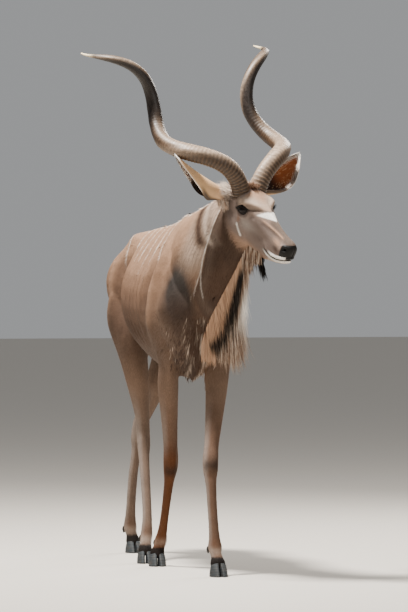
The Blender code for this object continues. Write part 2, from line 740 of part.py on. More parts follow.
def fringe_and_crest(nodes):
    """Locks for each node, rooted in the node that is nearest to the guide point."""
    trees = {name: surface(nodes[name]) for name in ("head", "neck", "torso")}
    locks = {name: [] for name in trees}
    rng = random.Random(5)

    def plant(point, aim, across, length, width, bend, sink=0.011):
        found = {name: tree.find_nearest(point) for name, tree in trees.items()}
        name = min(found, key=lambda n: found[n][3])
        place, normal = found[name][0], found[name][1]
        root = place - normal * sink - aim.normalized() * 0.004
        for (centre, square), side in zip((HEAD_CUT, NECK_CUT), CUT_SIDES[name]):
            away = (root - centre).dot(square)
            if side and away * side < LOCK_CLEAR:
                root += square * (LOCK_CLEAR * side - away)
        thick = width * rng.uniform(0.32, 0.45)
        locks[name].append(lock(name + "_lock", root, aim, across, length, width, thick, bend))

    rows = eased(FRINGE, FRINGE_ROWS)
    for i, (forward, side, height, length, lean, aside, spread) in enumerate(rows):
        for k in range(FRINGE_ACROSS):
            off = (k - (FRINGE_ACROSS - 1) / 2 + 0.35 * (i % 2) - 0.17) * spread
            jitter = rng.uniform(-0.005, 0.005)
            point = to_world(forward + jitter, side + off, height)
            aim = to_world(lean + rng.uniform(-0.05, 0.05), aside + off * 3.0 + rng.uniform(-0.06, 0.06), -1.0)
            across = to_world(rng.uniform(-0.9, 0.9), 1.0, 0.0)
            bend = to_world(-0.10 + rng.uniform(-0.08, 0.08), rng.uniform(-0.07, 0.07), -0.05)
            size = length * rng.uniform(0.78, 1.08) * (1.0 if k == 1 else 0.86)
            plant(point, aim, across, size, rng.uniform(0.0075, 0.0105), bend)
    for i, (forward, side, height, length, lean) in enumerate(eased(CREST, CREST_ROWS)):
        off = (0.010 if i % 2 else -0.010) + rng.uniform(-0.003, 0.003)
        point = to_world(forward, side + off, height + 0.01)
        aim = to_world(-lean + rng.uniform(-0.15, 0.15), off * 18, 1.0)
        across = to_world(1.0, rng.uniform(-0.3, 0.3), 0.0)
        bend = to_world(-0.35, off * 8, -0.25)
        size = length * rng.uniform(0.85, 1.15) + 0.012
        plant(point, aim, across, size, rng.uniform(0.008, 0.011), bend)
    for i in range(7):
        point = on_head(0.192 + rng.uniform(-0.012, 0.012), rng.uniform(-0.012, 0.012), -0.185)
        aim = to_world(0.16 + rng.uniform(-0.06, 0.06), 0.10 + rng.uniform(-0.08, 0.08), -1.0)
        across = to_world(rng.uniform(-1.0, 1.0), 1.0, 0.0)
        plant(point, aim, across, rng.uniform(0.090, 0.120), 0.007, to_world(0, 0.04, 0), 0.008)
    return locks


def tail_locks(tail):
    rng = random.Random(9)
    tree = surface(tail)
    locks = []
    for i in range(16):
        share = i / 15
        forward, side, height = (float(v) for v in eased(TAIL, 41)[int(14 + 24 * share)][:3])
        angle = 2.4 * i
        out = to_world(-math.cos(angle), math.sin(angle), 0)
        place = tree.find_nearest(to_world(forward, side, height) + out * 0.03)[0]
        aim = to_world(0, 0, -1) + out * 0.16
        length = rng.uniform(0.07, 0.12)
        across = Vector((0, 0, 1)).cross(out)
        locks.append(lock("tail_lock", place - out * 0.007, aim, across, length, 0.009, 0.0038, out * -0.06))
    return locks


def dewclaws(name):
    """The two small horn knobs behind a fetlock."""
    rows = [r for r in LEGS[name] if 0.10 <= r[2] <= 0.12]
    forward, side, height, half, _, behind = rows[-1]
    knobs = []
    for sign in (1, -1):
        knob = ball(name + "_knob", Vector((0, 0, 0)), 0.011, 10, 6)
        for vert in knob.data.vertices:
            vert.co.z *= 1.35
        place = to_world(forward - behind + 0.002, side + sign * half * 0.66, height - 0.012)
        knob.data.transform(Matrix.Translation(place) @ Matrix.Rotation(0.5, 4, "X"))
        knobs.append(knob)
    return knobs


def main():
    for obj in list(bpy.data.objects):
        bpy.data.objects.remove(obj)

    hide = (0.36, 0.27, 0.20)
    horn_brown = (0.13, 0.10, 0.075)
    hoof_grey = (0.17, 0.17, 0.18)

    # Flesh of trunk, neck and legs, melted together
    forms = [torso(), neck(), skull()]
    for name, rows in LEGS.items():
        forms.append(limb(name + "_form", rows, 54))
    sheath = ball("sheath_form", Vector((0, 0, 0)), 1.0, 20, 12)
    sheath.data.transform(Matrix.Translation(to_world(*SHEATH)) @ Matrix.Diagonal((0.028, 0.100, 0.040, 1)))
    forms.append(sheath)
    body = fused("body", forms, 0.007, 6, 3400, calm_below=0.62)

    # Head from its own finer forms
    head_forms = [skull(), neck()]
    head = fused("head", head_forms, 0.0035, 3, 0)
    carve_head(head)
    thin(head, 2500)

    # Parting planes
    head_cut, head_normal = HEAD_CUT
    slabs = [
        slab("cut_head", head_cut, head_normal, 0.5, 0.5),
        slab("cut_neck", NECK_CUT[0], NECK_CUT[1], 0.62, 0.72),
        slab("cut_elbows", to_world(0.39, 0.02, 0.742), (0, 0, 1), 0.6, 0.5),
        slab("cut_groin", to_world(-0.50, 0.01, 0.842), (0, 0, 1), 0.6, 0.52),
    ]
    for name, (forward, side, height) in LEG_JOINT.items():
        slabs.append(slab("cut_" + name, to_world(forward, side, height), (0, 0, 1), 0.12, 0.20))
    boolean(body, "DIFFERENCE", slabs)
    finished = {}
    marks = {
        "torso": to_world(0.0, 0.012, 1.05),
        "neck": to_world(0.70, 0.06, 1.22),
        "head_stub": to_world(1.03, 0.16, 1.36),
    }
    for name, (forward, side, height) in LEG_JOINT.items():
        rows = LEGS[name]
        upper_rows = [r for r in rows if height < r[2] < 0.84]
        lower_rows = [r for r in rows if r[2] < height]
        for part, chosen in (("upper", upper_rows), ("lower", lower_rows)):
            middle = [sum(r[i] for r in chosen) / len(chosen) for i in range(3)]
            marks[name + "_" + part] = to_world(*middle)
    for piece in islands(body.data):
        if len(piece.faces) < 60:
            piece.free()
            continue
        centre = sum((v.co for v in piece.verts), Vector()) / len(piece.verts)
        name = min(marks, key=lambda n: (marks[n] - centre).length)
        mesh = bpy.data.meshes.new(name)
        piece.to_mesh(mesh)
        piece.free()
        if name in finished or name == "head_stub":
            bpy.data.meshes.remove(mesh)
            continue
        finished[name] = add_object(name, mesh)
    remove([body])

    # Head kept on its own side of the same plane
    boolean(head, "DIFFERENCE", [slab("cut_head_fine", head_cut, head_normal, 0.6, 0.6)])
    for piece in islands(head.data):
        centre = sum((v.co for v in piece.verts), Vector()) / len(piece.verts)
        if (centre - head_cut).dot(head_normal) > 0 and len(piece.faces) > 500:
            piece.to_mesh(head.data)
        piece.free()
    finished["head"] = head

    # Horns, ears and eyes set into the head
    for side, sign in (("left", 1), ("right", -1)):
        finished["horn_" + side] = horn("horn_" + side, sign)
        finished["ear_" + side] = ear("ear_" + side)
        along, wide, out = EYE
        finished["eye_" + side] = ball("eye_" + side, on_head(along, wide * sign, out), EYE_RADIUS)
    horns = [finished["horn_left"], finished["horn_right"]]
    ears = [finished["ear_left"], finished["ear_right"]]
    eyes = [finished["eye_left"], finished["eye_right"]]
    boolean(head, "DIFFERENCE", [swollen(o, GAP) for o in horns + ears + eyes])
    keep_largest(head)

    # Tail
    tail = limb("tail", TAIL, 14, 10)
    finished["tail"] = tail
    boolean(finished["torso"], "DIFFERENCE", [swollen(tail, GAP)])
    keep_largest(finished["torso"])
    boolean(tail, "UNION", tail_locks(tail))
    keep_largest(tail)

    # Fringe of the throat, crest of the neck and tuft of the chin
    locks = fringe_and_crest(finished)
    head_cutters = [swollen(o, GAP * 1.5) for o in locks["head"]]
    neck_cutters = [swollen(o, GAP * 1.5) for o in locks["neck"]]
    for name, group in locks.items():
        boolean(finished[name], "UNION", group)
        keep_largest(finished[name])
    boolean(finished["neck"], "DIFFERENCE", head_cutters)
    keep_largest(finished["neck"])
    boolean(finished["torso"], "DIFFERENCE", neck_cutters)
    keep_largest(finished["torso"])

    # Cloven hooves
    for name, (forward, side, turn, size) in HOOVES.items():
        halves = [claw(name + "_claw", sign, turn, size, forward, side) for sign in (1, -1)]
        hoof = halves[0]
        hoof.name = name.replace("leg", "hoof")
        bridge = ball("bridge", to_world(forward - 0.012, side, 0.034), 0.014, 9, 6)
        cutters = [swollen(o, GAP * 3.0) for o in (halves[0], halves[1], bridge)]
        boolean(hoof, "UNION", [halves[1], bridge])
        keep_largest(hoof)
        finished[hoof.name] = hoof
        lower = finished[name + "_lower"]
        boolean(lower, "UNION", dewclaws(name))
        boolean(lower, "DIFFERENCE", cutters)
        keep_largest(lower)

    coat = {n: o for n, o in finished.items() if not n.startswith(("horn", "eye")) and "hoof" not in n}
    for name, obj in coat.items():
        finish(obj, finish_material(name + "_hide", hide, 0.85))
    for name, obj in finished.items():
        if name.startswith("horn"):
            finish(obj, finish_material(name + "_horn", horn_brown, 0.40))
        elif name.startswith("eye"):
            finish(obj, finish_material(name + "_glass", (0.02, 0.014, 0.010), 0.08))
        elif "hoof" in name:
            finish(obj, finish_material(name + "_horn", hoof_grey, 0.45))

    # Bottom centre of the whole at the origin
    points = np.array([v.co[:] for obj in finished.values() for v in obj.data.vertices])
    low, high = points.min(axis=0), points.max(axis=0)
    shift = Vector((-(low[0] + high[0]) / 2, -(low[1] + high[1]) / 2, -low[2]))
    for obj in finished.values():
        obj.data.transform(Matrix.Translation(shift))
        obj.data.update()


main()
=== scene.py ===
# The looks of a life-size greater kudu bull: one skin, its coat and mane, horns, hooves, eyes and ears.
# Metres, Z up. The animal faces -Y and its own left side is +X.
import math

import bmesh
import bpy
import numpy as np
from mathutils import Matrix, Vector
from mathutils.bvhtree import BVHTree


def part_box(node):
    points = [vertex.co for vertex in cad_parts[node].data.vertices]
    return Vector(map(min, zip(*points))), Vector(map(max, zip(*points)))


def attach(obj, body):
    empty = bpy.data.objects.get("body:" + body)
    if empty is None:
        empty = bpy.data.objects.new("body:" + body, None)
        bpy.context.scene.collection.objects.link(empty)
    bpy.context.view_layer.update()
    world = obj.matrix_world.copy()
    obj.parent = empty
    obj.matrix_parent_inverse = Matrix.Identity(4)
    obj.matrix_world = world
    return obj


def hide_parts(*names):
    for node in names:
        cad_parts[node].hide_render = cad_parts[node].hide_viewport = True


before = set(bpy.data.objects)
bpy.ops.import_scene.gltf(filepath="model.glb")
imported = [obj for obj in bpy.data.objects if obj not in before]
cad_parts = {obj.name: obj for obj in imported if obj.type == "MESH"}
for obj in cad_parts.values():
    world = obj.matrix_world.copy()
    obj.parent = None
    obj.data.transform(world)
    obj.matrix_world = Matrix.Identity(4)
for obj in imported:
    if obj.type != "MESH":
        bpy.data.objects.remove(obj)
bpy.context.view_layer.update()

print("frame loaded")

# Where the head stands and how it is turned, in metres and degrees
headSet = {"forward": 0.930, "side": 0.126, "height": 1.513, "yaw": 26.0, "pitch": 36.5, "roll": 2.9}
lidSet = {"halfLong": 0.0218, "halfHigh": 0.0094, "skirt": 0.0080, "tilt": 20.0, "droop": 0.0020}
cadEye = {"along": 0.083, "side": 0.064, "out": -0.034}
eyeSet = {"along": 0.080, "side": 0.0605, "out": -0.0435, "ball": 0.0220}


def headAxes():
    yaw, pitch, roll = (math.radians(headSet[k]) for k in ("yaw", "pitch", "roll"))
    ahead = Vector((math.sin(yaw), -math.cos(yaw), 0))
    level = Vector((math.cos(yaw), math.sin(yaw), 0))
    up = Vector((0, 0, 1))
    left = level * math.cos(roll) + up * math.sin(roll)
    crown = up * math.cos(roll) - level * math.sin(roll)
    nose = ahead * math.cos(pitch) - crown * math.sin(pitch)
    out = ahead * math.sin(pitch) + crown * math.cos(pitch)
    return ahead, left, crown, nose, out


ahead, left, crown, nose, out = headAxes()
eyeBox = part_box("eye_left")
eyeMiddle = (eyeBox[0] + eyeBox[1]) / 2
headAt = eyeMiddle - nose * cadEye["along"] - left * cadEye["side"] - out * cadEye["out"]
offset = headAt - Vector((headSet["side"], -headSet["forward"], headSet["height"]))  # body frame to row frame
offset.z = 0


def place(forward, side, height):
    return Vector((side, -forward, height)) + offset


def onHead(along, side, outward):
    return headAt + nose * along + left * side + out * outward


def bodyCoords(points):  # forward, side, height
    return -(points[:, 1] - offset.y), points[:, 0] - offset.x, points[:, 2]


def headCoords(points):  # along the nose, to the left, out of the forehead
    away = points - np.array(headAt)
    return away @ np.array(nose), away @ np.array(left), away @ np.array(out)


# Torso: forward, back line, belly line, half width, height of the widest point, pinch above, pinch below
torsoSide = 0.012
torsoRows = (
    (-0.735, 1.160, 1.060, 0.055, 1.12, 0.00, 0.00),
    (-0.700, 1.235, 0.990, 0.108, 1.12, 0.10, 0.10),
    (-0.620, 1.298, 0.930, 0.146, 1.13, 0.25, 0.10),
    (-0.470, 1.333, 0.890, 0.160, 1.14, 0.35, 0.10),
    (-0.300, 1.350, 0.880, 0.158, 1.11, 0.45, 0.10),
    (-0.140, 1.360, 0.835, 0.174, 1.07, 0.50, 0.10),
    (0.020, 1.368, 0.795, 0.186, 1.04, 0.55, 0.15),
    (0.180, 1.382, 0.770, 0.178, 1.03, 0.60, 0.20),
    (0.300, 1.402, 0.762, 0.164, 1.03, 0.65, 0.30),
    (0.390, 1.412, 0.768, 0.150, 1.03, 0.65, 0.35),
    (0.490, 1.385, 0.795, 0.140, 1.04, 0.50, 0.35),
    (0.570, 1.300, 0.850, 0.118, 1.05, 0.30, 0.30),
    (0.640, 1.170, 0.940, 0.070, 1.05, 0.10, 0.10),
)
# Neck: crest forward and height, throat forward and height, side of crest and throat, half width
neckRows = (
    (0.300, 1.392, 0.470, 0.900, 0.012, 0.012, 0.092),
    (0.450, 1.415, 0.630, 0.960, 0.018, 0.020, 0.118),
    (0.580, 1.442, 0.730, 1.045, 0.034, 0.046, 0.101),
    (0.690, 1.470, 0.805, 1.130, 0.060, 0.074, 0.085),
    (0.780, 1.496, 0.868, 1.200, 0.086, 0.098, 0.074),
    (0.845, 1.512, 0.918, 1.265, 0.106, 0.116, 0.066),
    (0.905, 1.508, 0.960, 1.330, 0.120, 0.128, 0.054),
)
# Head: along the nose line, top, bottom, half width, height of the widest point, pinch above, pinch below
skullRows = (
    (-0.095, -0.045, -0.125, 0.048, -0.075, 0.10, 0.10),
    (-0.050, -0.008, -0.150, 0.060, -0.060, 0.20, 0.25),
    (0.000, 0.010, -0.170, 0.067, -0.045, 0.20, 0.45),
    (0.045, 0.013, -0.186, 0.074, -0.036, 0.10, 0.55),
    (0.085, 0.010, -0.196, 0.075, -0.040, 0.20, 0.60),
    (0.125, 0.004, -0.200, 0.060, -0.050, 0.40, 0.55),
    (0.175, -0.004, -0.196, 0.044, -0.060, 0.50, 0.45),
    (0.220, -0.011, -0.180, 0.035, -0.068, 0.50, 0.40),
    (0.262, -0.017, -0.160, 0.031, -0.072, 0.45, 0.25),
    (0.295, -0.019, -0.144, 0.031, -0.070, 0.30, 0.15),
    (0.320, -0.019, -0.129, 0.031, -0.064, 0.20, 0.10),
    (0.338, -0.021, -0.116, 0.028, -0.060, 0.10, 0.05),
    (0.349, -0.028, -0.104, 0.021, -0.060, 0.00, 0.00),
    (0.355, -0.042, -0.088, 0.011, -0.063, 0.00, 0.00),
)
# Legs: forward, side, height, half width, reach in front, reach behind
legRows = {
    "foreleg_left": (
        (0.330, 0.070, 1.240, 0.020, 0.040, 0.040),
        (0.375, 0.090, 1.100, 0.056, 0.100, 0.110),
        (0.420, 0.102, 0.940, 0.066, 0.105, 0.120),
        (0.435, 0.104, 0.830, 0.056, 0.075, 0.092),
        (0.455, 0.100, 0.740, 0.046, 0.053, 0.062),
        (0.505, 0.079, 0.620, 0.037, 0.040, 0.044),
        (0.560, 0.057, 0.510, 0.030, 0.030, 0.032),
        (0.590, 0.046, 0.455, 0.0325, 0.032, 0.032),
        (0.607, 0.042, 0.410, 0.0310, 0.030, 0.031),
        (0.620, 0.041, 0.360, 0.0235, 0.022, 0.027),
        (0.643, 0.043, 0.240, 0.0212, 0.020, 0.025),
        (0.660, 0.046, 0.150, 0.0235, 0.022, 0.028),
        (0.668, 0.047, 0.115, 0.0290, 0.024, 0.031),
        (0.692, 0.049, 0.078, 0.0240, 0.020, 0.025),
        (0.706, 0.050, 0.052, 0.0310, 0.030, 0.032),
        (0.710, 0.050, 0.030, 0.0265, 0.026, 0.026),
    ),
    "foreleg_right": (
        (0.310, -0.058, 1.240, 0.020, 0.040, 0.040),
        (0.345, -0.080, 1.100, 0.056, 0.100, 0.110),
        (0.358, -0.076, 0.940, 0.052, 0.100, 0.104),
        (0.324, -0.063, 0.830, 0.041, 0.075, 0.084),
        (0.286, -0.060, 0.740, 0.043, 0.053, 0.062),
        (0.240, -0.046, 0.620, 0.036, 0.040, 0.044),
        (0.192, -0.031, 0.500, 0.030, 0.030, 0.032),
        (0.172, -0.025, 0.440, 0.0315, 0.031, 0.031),
        (0.155, -0.023, 0.395, 0.0295, 0.029, 0.030),
        (0.128, -0.024, 0.340, 0.0215, 0.020, 0.025),
        (0.072, -0.027, 0.225, 0.0185, 0.018, 0.024),
        (0.026, -0.029, 0.140, 0.0205, 0.020, 0.027),
        (0.008, -0.031, 0.105, 0.0265, 0.022, 0.030),
        (0.002, -0.037, 0.078, 0.0245, 0.020, 0.025),
        (-0.004, -0.043, 0.052, 0.0310, 0.030, 0.032),
        (-0.004, -0.044, 0.030, 0.0265, 0.026, 0.026),
    ),
    "hindleg_left": (
        (-0.500, 0.060, 1.220, 0.030, 0.060, 0.060),
        (-0.490, 0.082, 1.110, 0.070, 0.120, 0.120),
        (-0.470, 0.098, 1.000, 0.076, 0.140, 0.130),
        (-0.475, 0.102, 0.900, 0.068, 0.120, 0.115),
        (-0.510, 0.090, 0.800, 0.056, 0.092, 0.095),
        (-0.570, 0.064, 0.700, 0.044, 0.064, 0.072),
        (-0.650, 0.045, 0.610, 0.033, 0.046, 0.052),
        (-0.742, 0.038, 0.545, 0.0285, 0.038, 0.048),
        (-0.792, 0.036, 0.490, 0.0285, 0.038, 0.036),
        (-0.815, 0.034, 0.430, 0.0215, 0.027, 0.026),
        (-0.850, 0.028, 0.320, 0.0212, 0.022, 0.026),
        (-0.885, 0.027, 0.210, 0.0212, 0.021, 0.026),
        (-0.914, 0.030, 0.145, 0.0245, 0.022, 0.028),
        (-0.926, 0.032, 0.110, 0.0290, 0.024, 0.032),
        (-0.926, 0.038, 0.078, 0.0245, 0.020, 0.025),
        (-0.928, 0.043, 0.052, 0.0300, 0.029, 0.031),
        (-0.928, 0.044, 0.030, 0.0255, 0.025, 0.025),
    ),
    "hindleg_right": (
        (-0.480, -0.040, 1.220, 0.030, 0.060, 0.060),
        (-0.450, -0.066, 1.110, 0.070, 0.120, 0.110),
        (-0.410, -0.084, 1.000, 0.076, 0.140, 0.110),
        (-0.375, -0.078, 0.900, 0.068, 0.120, 0.090),
        (-0.365, -0.062, 0.800, 0.056, 0.088, 0.085),
        (-0.385, -0.042, 0.700, 0.044, 0.064, 0.072),
        (-0.412, -0.022, 0.590, 0.031, 0.042, 0.050),
        (-0.430, -0.014, 0.520, 0.0285, 0.036, 0.046),
        (-0.424, -0.0135, 0.470, 0.0285, 0.036, 0.034),
        (-0.398, -0.0175, 0.410, 0.0240, 0.027, 0.027),
        (-0.344, -0.021, 0.300, 0.0212, 0.022, 0.026),
        (-0.288, -0.027, 0.195, 0.0208, 0.021, 0.026),
        (-0.258, -0.034, 0.140, 0.0235, 0.022, 0.028),
        (-0.246, -0.038, 0.110, 0.0260, 0.022, 0.030),
        (-0.222, -0.046, 0.078, 0.0245, 0.020, 0.025),
        (-0.204, -0.052, 0.052, 0.0300, 0.029, 0.031),
        (-0.202, -0.053, 0.030, 0.0255, 0.025, 0.025),
    ),
}
tailRows = (
    (-0.690, 0.012, 1.215, 0.026, 0.022, 0.022),
    (-0.745, 0.012, 1.200, 0.025, 0.022, 0.022),
    (-0.785, 0.012, 1.150, 0.024, 0.018, 0.018),
    (-0.800, 0.013, 1.060, 0.024, 0.014, 0.014),
    (-0.802, 0.014, 0.960, 0.023, 0.012, 0.012),
    (-0.798, 0.015, 0.880, 0.016, 0.009, 0.009),
    (-0.794, 0.016, 0.840, 0.006, 0.004, 0.004),
)
headCut = (place(0.868, 0.112, 1.38), Vector((0.16, -0.62, 0.30)).normalized())
neckCut = (place(0.505, 0.02, 1.17), Vector((0.06, -0.80, 0.52)).normalized())


def eased(rows, count):  # Catmull-Rom through rows of numbers
    rows = np.array(rows, float)
    last = len(rows) - 1
    result = []
    for value in np.linspace(0, last, count):
        i = min(int(value), last - 1)
        t = value - i
        a, b, c, d = (rows[max(0, min(last, k))] for k in (i - 1, i, i + 1, i + 2))
        result.append(
            0.5 * (2 * b + (c - a) * t + (2 * a - 5 * b + 4 * c - d) * t * t + (3 * b - a - 3 * c + d) * t**3)
        )
    return np.array(result)


def section(middle, across, up, half, above, below, pinchAbove=0.0, pinchBelow=0.0, sides=32):
    ring = []
    for i in range(sides):
        angle = 2 * math.pi * i / sides
        wide, upright = math.sin(angle), math.cos(angle)
        pinch, reach = (pinchAbove, above) if upright > 0 else (pinchBelow, below)
        width = half * wide * (1 - pinch * upright * upright)
        ring.append(middle + across * width + up * reach * upright)
    return ring


def loft(bm, rings):  # circles moved onto each ring, bridged one to the next, both ends filled
    previous, ends = None, []
    for ring in rings:
        verts = bmesh.ops.create_circle(bm, segments=len(ring), radius=1)["verts"]
        for vert, point in zip(verts, ring):
            vert.co = point
        edges = list({edge for vert in verts for edge in vert.link_edges})
        if previous:
            bmesh.ops.bridge_loops(bm, edges=previous + edges)
        previous = edges
        ends.append(edges)
    bmesh.ops.holes_fill(bm, edges=ends[0] + ends[-1], sides=0)


def torsoRings():
    across, up = Vector((1, 0, 0)), Vector((0, 0, 1))
    rings = []
    for forward, top, bottom, half, widest, above, below in eased(torsoRows, 40):
        middle = place(forward, torsoSide, widest)
        rings.append(section(middle, across, up, half, top - widest, widest - bottom, above, below))
    return rings


def neckRings():
    rows = eased(neckRows, 24)
    rings = []
    for i, (topF, topZ, lowF, lowZ, topSide, lowSide, half) in enumerate(rows):
        top, low = place(topF, topSide, topZ), place(lowF, lowSide, lowZ)
        before, after = rows[max(0, i - 1)], rows[min(len(rows) - 1, i + 1)]
        run = (place(after[0] + after[2], after[4] + after[5], 0)
               - place(before[0] + before[2], before[4] + before[5], 0))
        across = Vector((0, 0, 1)).cross(run).normalized()
        up = (top - low).normalized()
        middle = low.lerp(top, 0.52)
        rings.append(section(middle, across, up, half, (top - middle).length, (middle - low).length, 0.3,
                             0.2))
    return rings


def skullRings():
    rings = []
    for along, top, bottom, half, widest, above, below in eased(skullRows, 40):
        middle = onHead(along, 0, widest)
        rings.append(section(middle, left, out, half, top - widest, widest - bottom, above, below))
    return rings


def limbRings(rows, count, sides=24):
    rows = eased(rows, count)
    rings = []
    for i, (forward, side, height, half, front, back) in enumerate(rows):
        run = place(*rows[min(len(rows) - 1, i + 1)][:3]) - place(*rows[max(0, i - 1)][:3])
        across = Vector((1, 0, 0))
        fore = run.cross(across).normalized()
        if fore.y > 0:
            fore = -fore
        across = fore.cross(run).normalized()
        if across.x < 0:
            across = -across
        rings.append(section(place(forward, side, height), across, fore, half, front, back, 0.15, 0.15,
                             sides))
    return rings


def linear(hexColour):  # sRGB hex to linear numbers
    value = int(hexColour.lstrip("#"), 16)
    channels = [((value >> shift) & 255) / 255 for shift in (16, 8, 0)]
    return tuple(c / 12.92 if c <= 0.04045 else ((c + 0.055) / 1.055) ** 2.4 for c in channels)


def newObject(name, mesh):
    obj = bpy.data.objects.new(name, mesh)
    bpy.context.scene.collection.objects.link(obj)
    return obj


def meshFrom(bm, name):
    mesh = bpy.data.meshes.new(name)
    bm.to_mesh(mesh)
    bm.free()
    return mesh


def applied(obj):
    graph = bpy.context.evaluated_depsgraph_get()
    mesh = bpy.data.meshes.new_from_object(obj.evaluated_get(graph))
    obj.modifiers.clear()
    old = obj.data
    obj.data = mesh
    bpy.data.meshes.remove(old)
    return obj


def arrays(mesh):
    points = np.zeros(len(mesh.vertices) * 3)
    mesh.vertices.foreach_get("co", points)
    normals = np.zeros(len(mesh.vertices) * 3)
    mesh.vertices.foreach_get("normal", normals)
    return points.reshape(-1, 3), normals.reshape(-1, 3)


def soft(value, low, high):
    t = np.clip((value - low) / (high - low), 0, 1)
    return t * t * (3 - 2 * t)


def bump(value, middle, spread):
    return np.exp(-(((value - middle) / spread) ** 2))


def unit(vectors, least=0.0):  # each row brought to length one
    return vectors / np.maximum(np.linalg.norm(vectors, axis=1), least)[:, None]


def either(mask, first, second):  # row by row, the first where the mask is true
    return np.where(mask[:, None], first, second)


def guideAt(forward, side, height):  # body coordinates to points beside the skin
    return np.stack((side + offset.x, -forward + offset.y, height), axis=1)


def colourPoints(mesh, tints):  # one colour a point, in the attribute that the materials read
    layer = mesh.color_attributes.new("coatColour", "FLOAT_COLOR", "POINT")
    layer.data.foreach_set("color", np.hstack((tints, np.ones((len(tints), 1)))).astype(np.float32).ravel())


def finished(obj, material):  # smooth faces and their material
    obj.data.polygons.foreach_set("use_smooth", np.ones(len(obj.data.polygons), bool))
    obj.data.materials.append(material)
    return obj


def rise(key, low, high):
    return lambda terms: soft(terms[key], low, high)


def fall(key, low, high):
    return lambda terms: 1 - soft(terms[key], low, high)


def band(key, middle, spread):
    return lambda terms: bump(terms[key], middle, spread)


def within(terms, factors):  # product of named shares, and of rises, falls and bands over named coordinates
    amount = 1.0
    for factor in factors:
        amount = amount * (terms[factor] if isinstance(factor, str) else factor(terms))
    return amount


def lineGap(first, second, line):  # distance in a plane to a bent line
    best = np.full(len(first), 9.0)
    for (a0, a1), (b0, b1) in zip(line, line[1:]):
        run = np.array((b0 - a0, b1 - a1))
        t = np.clip(((first - a0) * run[0] + (second - a1) * run[1]) / (run @ run), 0, 1)
        best = np.minimum(best, np.hypot(first - a0 - t * run[0], second - a1 - t * run[1]))
    return best


def partOf(points):  # shares of head, neck and leg at each point, 0 to 1
    head = soft((points - np.array(headCut[0])) @ np.array(headCut[1]), -0.02, 0.03)
    neck = soft((points - np.array(neckCut[0])) @ np.array(neckCut[1]), -0.05, 0.05) * (1 - head)
    leg = 1 - soft(points[:, 2], 0.70, 0.86)
    return head, neck * (1 - leg), leg


# Skin
skinSet = {
    "voxel": 0.0036,
    "triangles": 120000,
    "coatDepthTrunk": 0.0045,
    "coatDepthLeg": 0.0018,
    "coatDepthFace": 0.0012,
    "sheath": (-0.330, 0.012, 0.868),
}
# Muscle and bone under the skin: forward, side, height, reach forward, side, up, and how far it stands out
relief = (
    (-0.475, 0.125, 1.275, 0.042, 0.05, 0.032, 0.005),  # point of the hip
    (-0.410, 0.066, 1.312, 0.055, 0.040, 0.040, 0.018),  # crest of the hip
    (-0.530, 0.100, 1.265, 0.055, 0.050, 0.050, -0.014),  # slope of the rump
    (-0.665, 0.075, 1.190, 0.030, 0.04, 0.040, 0.010),  # seat bone
    (-0.315, 0.150, 1.190, 0.062, 0.08, 0.085, -0.034),  # hollow of the flank
    (-0.300, 0.150, 1.050, 0.050, 0.07, 0.080, -0.020),  # where the belly parts from the thigh
    (-0.540, 0.140, 1.190, 0.050, 0.06, 0.070, -0.010),  # behind the hip
    (0.350, 0.130, 1.270, 0.040, 0.07, 0.120, 0.012),  # shoulder blade
    (0.440, 0.110, 1.280, 0.030, 0.06, 0.100, -0.008),  # before the shoulder blade
    (0.480, 0.120, 1.040, 0.050, 0.07, 0.060, 0.014),  # point of the shoulder
    (0.335, 0.140, 1.090, 0.035, 0.06, 0.130, 0.009),  # rear edge of the shoulder
    (0.255, 0.150, 1.130, 0.032, 0.07, 0.160, -0.019),  # furrow behind the shoulder
    (0.320, 0.130, 0.960, 0.060, 0.06, 0.070, 0.010),  # upper arm
    (0.300, 0.120, 0.860, 0.050, 0.05, 0.040, 0.010),  # elbow
    (-0.440, 0.140, 0.980, 0.100, 0.07, 0.110, 0.012),  # thigh
    (-0.560, 0.120, 0.960, 0.030, 0.07, 0.120, -0.006),  # split of the thigh muscles
    (-0.300, 0.110, 0.900, 0.035, 0.06, 0.080, 0.010),  # fold of the stifle
    (0.060, 0.160, 1.060, 0.220, 0.09, 0.130, 0.008),  # barrel
)
ribs = {"from": -0.20, "to": 0.24, "low": 0.86, "high": 1.27, "spacing": 0.047, "height": 0.0028}


# Share across the leg in front (+) or behind (-), height, reach, how far it stands out
legRelief = {
    "foreleg": (
        (0.9, 0.440, 0.030, 0.0030),  # knee
        (-0.9, 0.430, 0.016, 0.0055),  # bone behind the knee
        (0.9, 0.385, 0.012, -0.0020),
        (-0.9, 0.118, 0.016, 0.0035),  # fetlock
        (-0.9, 0.085, 0.012, -0.0030),
    ),
    "hindleg": (
        (-0.9, 0.550, 0.018, 0.0060),  # point of the hock
        (0.9, 0.490, 0.022, 0.0030),
        (-0.9, 0.440, 0.018, -0.0025),
        (-0.9, 0.118, 0.016, 0.0035),
        (-0.9, 0.085, 0.012, -0.0030),
    ),
}
tendon = {"low": 0.135, "high": {"foreleg": 0.37, "hindleg": 0.47}, "depth": 0.0030}


def limbStations():
    table = []
    for i, rows in enumerate(legRows.values()):
        for ring in limbRings(rows, 54):
            middle = sum(ring, Vector()) / len(ring)
            fore, across = ring[0] - middle, ring[len(ring) // 4] - middle
            table.append((*middle, *(fore / fore.length_squared), *(across / across.length_squared), i))
    return np.array(table)


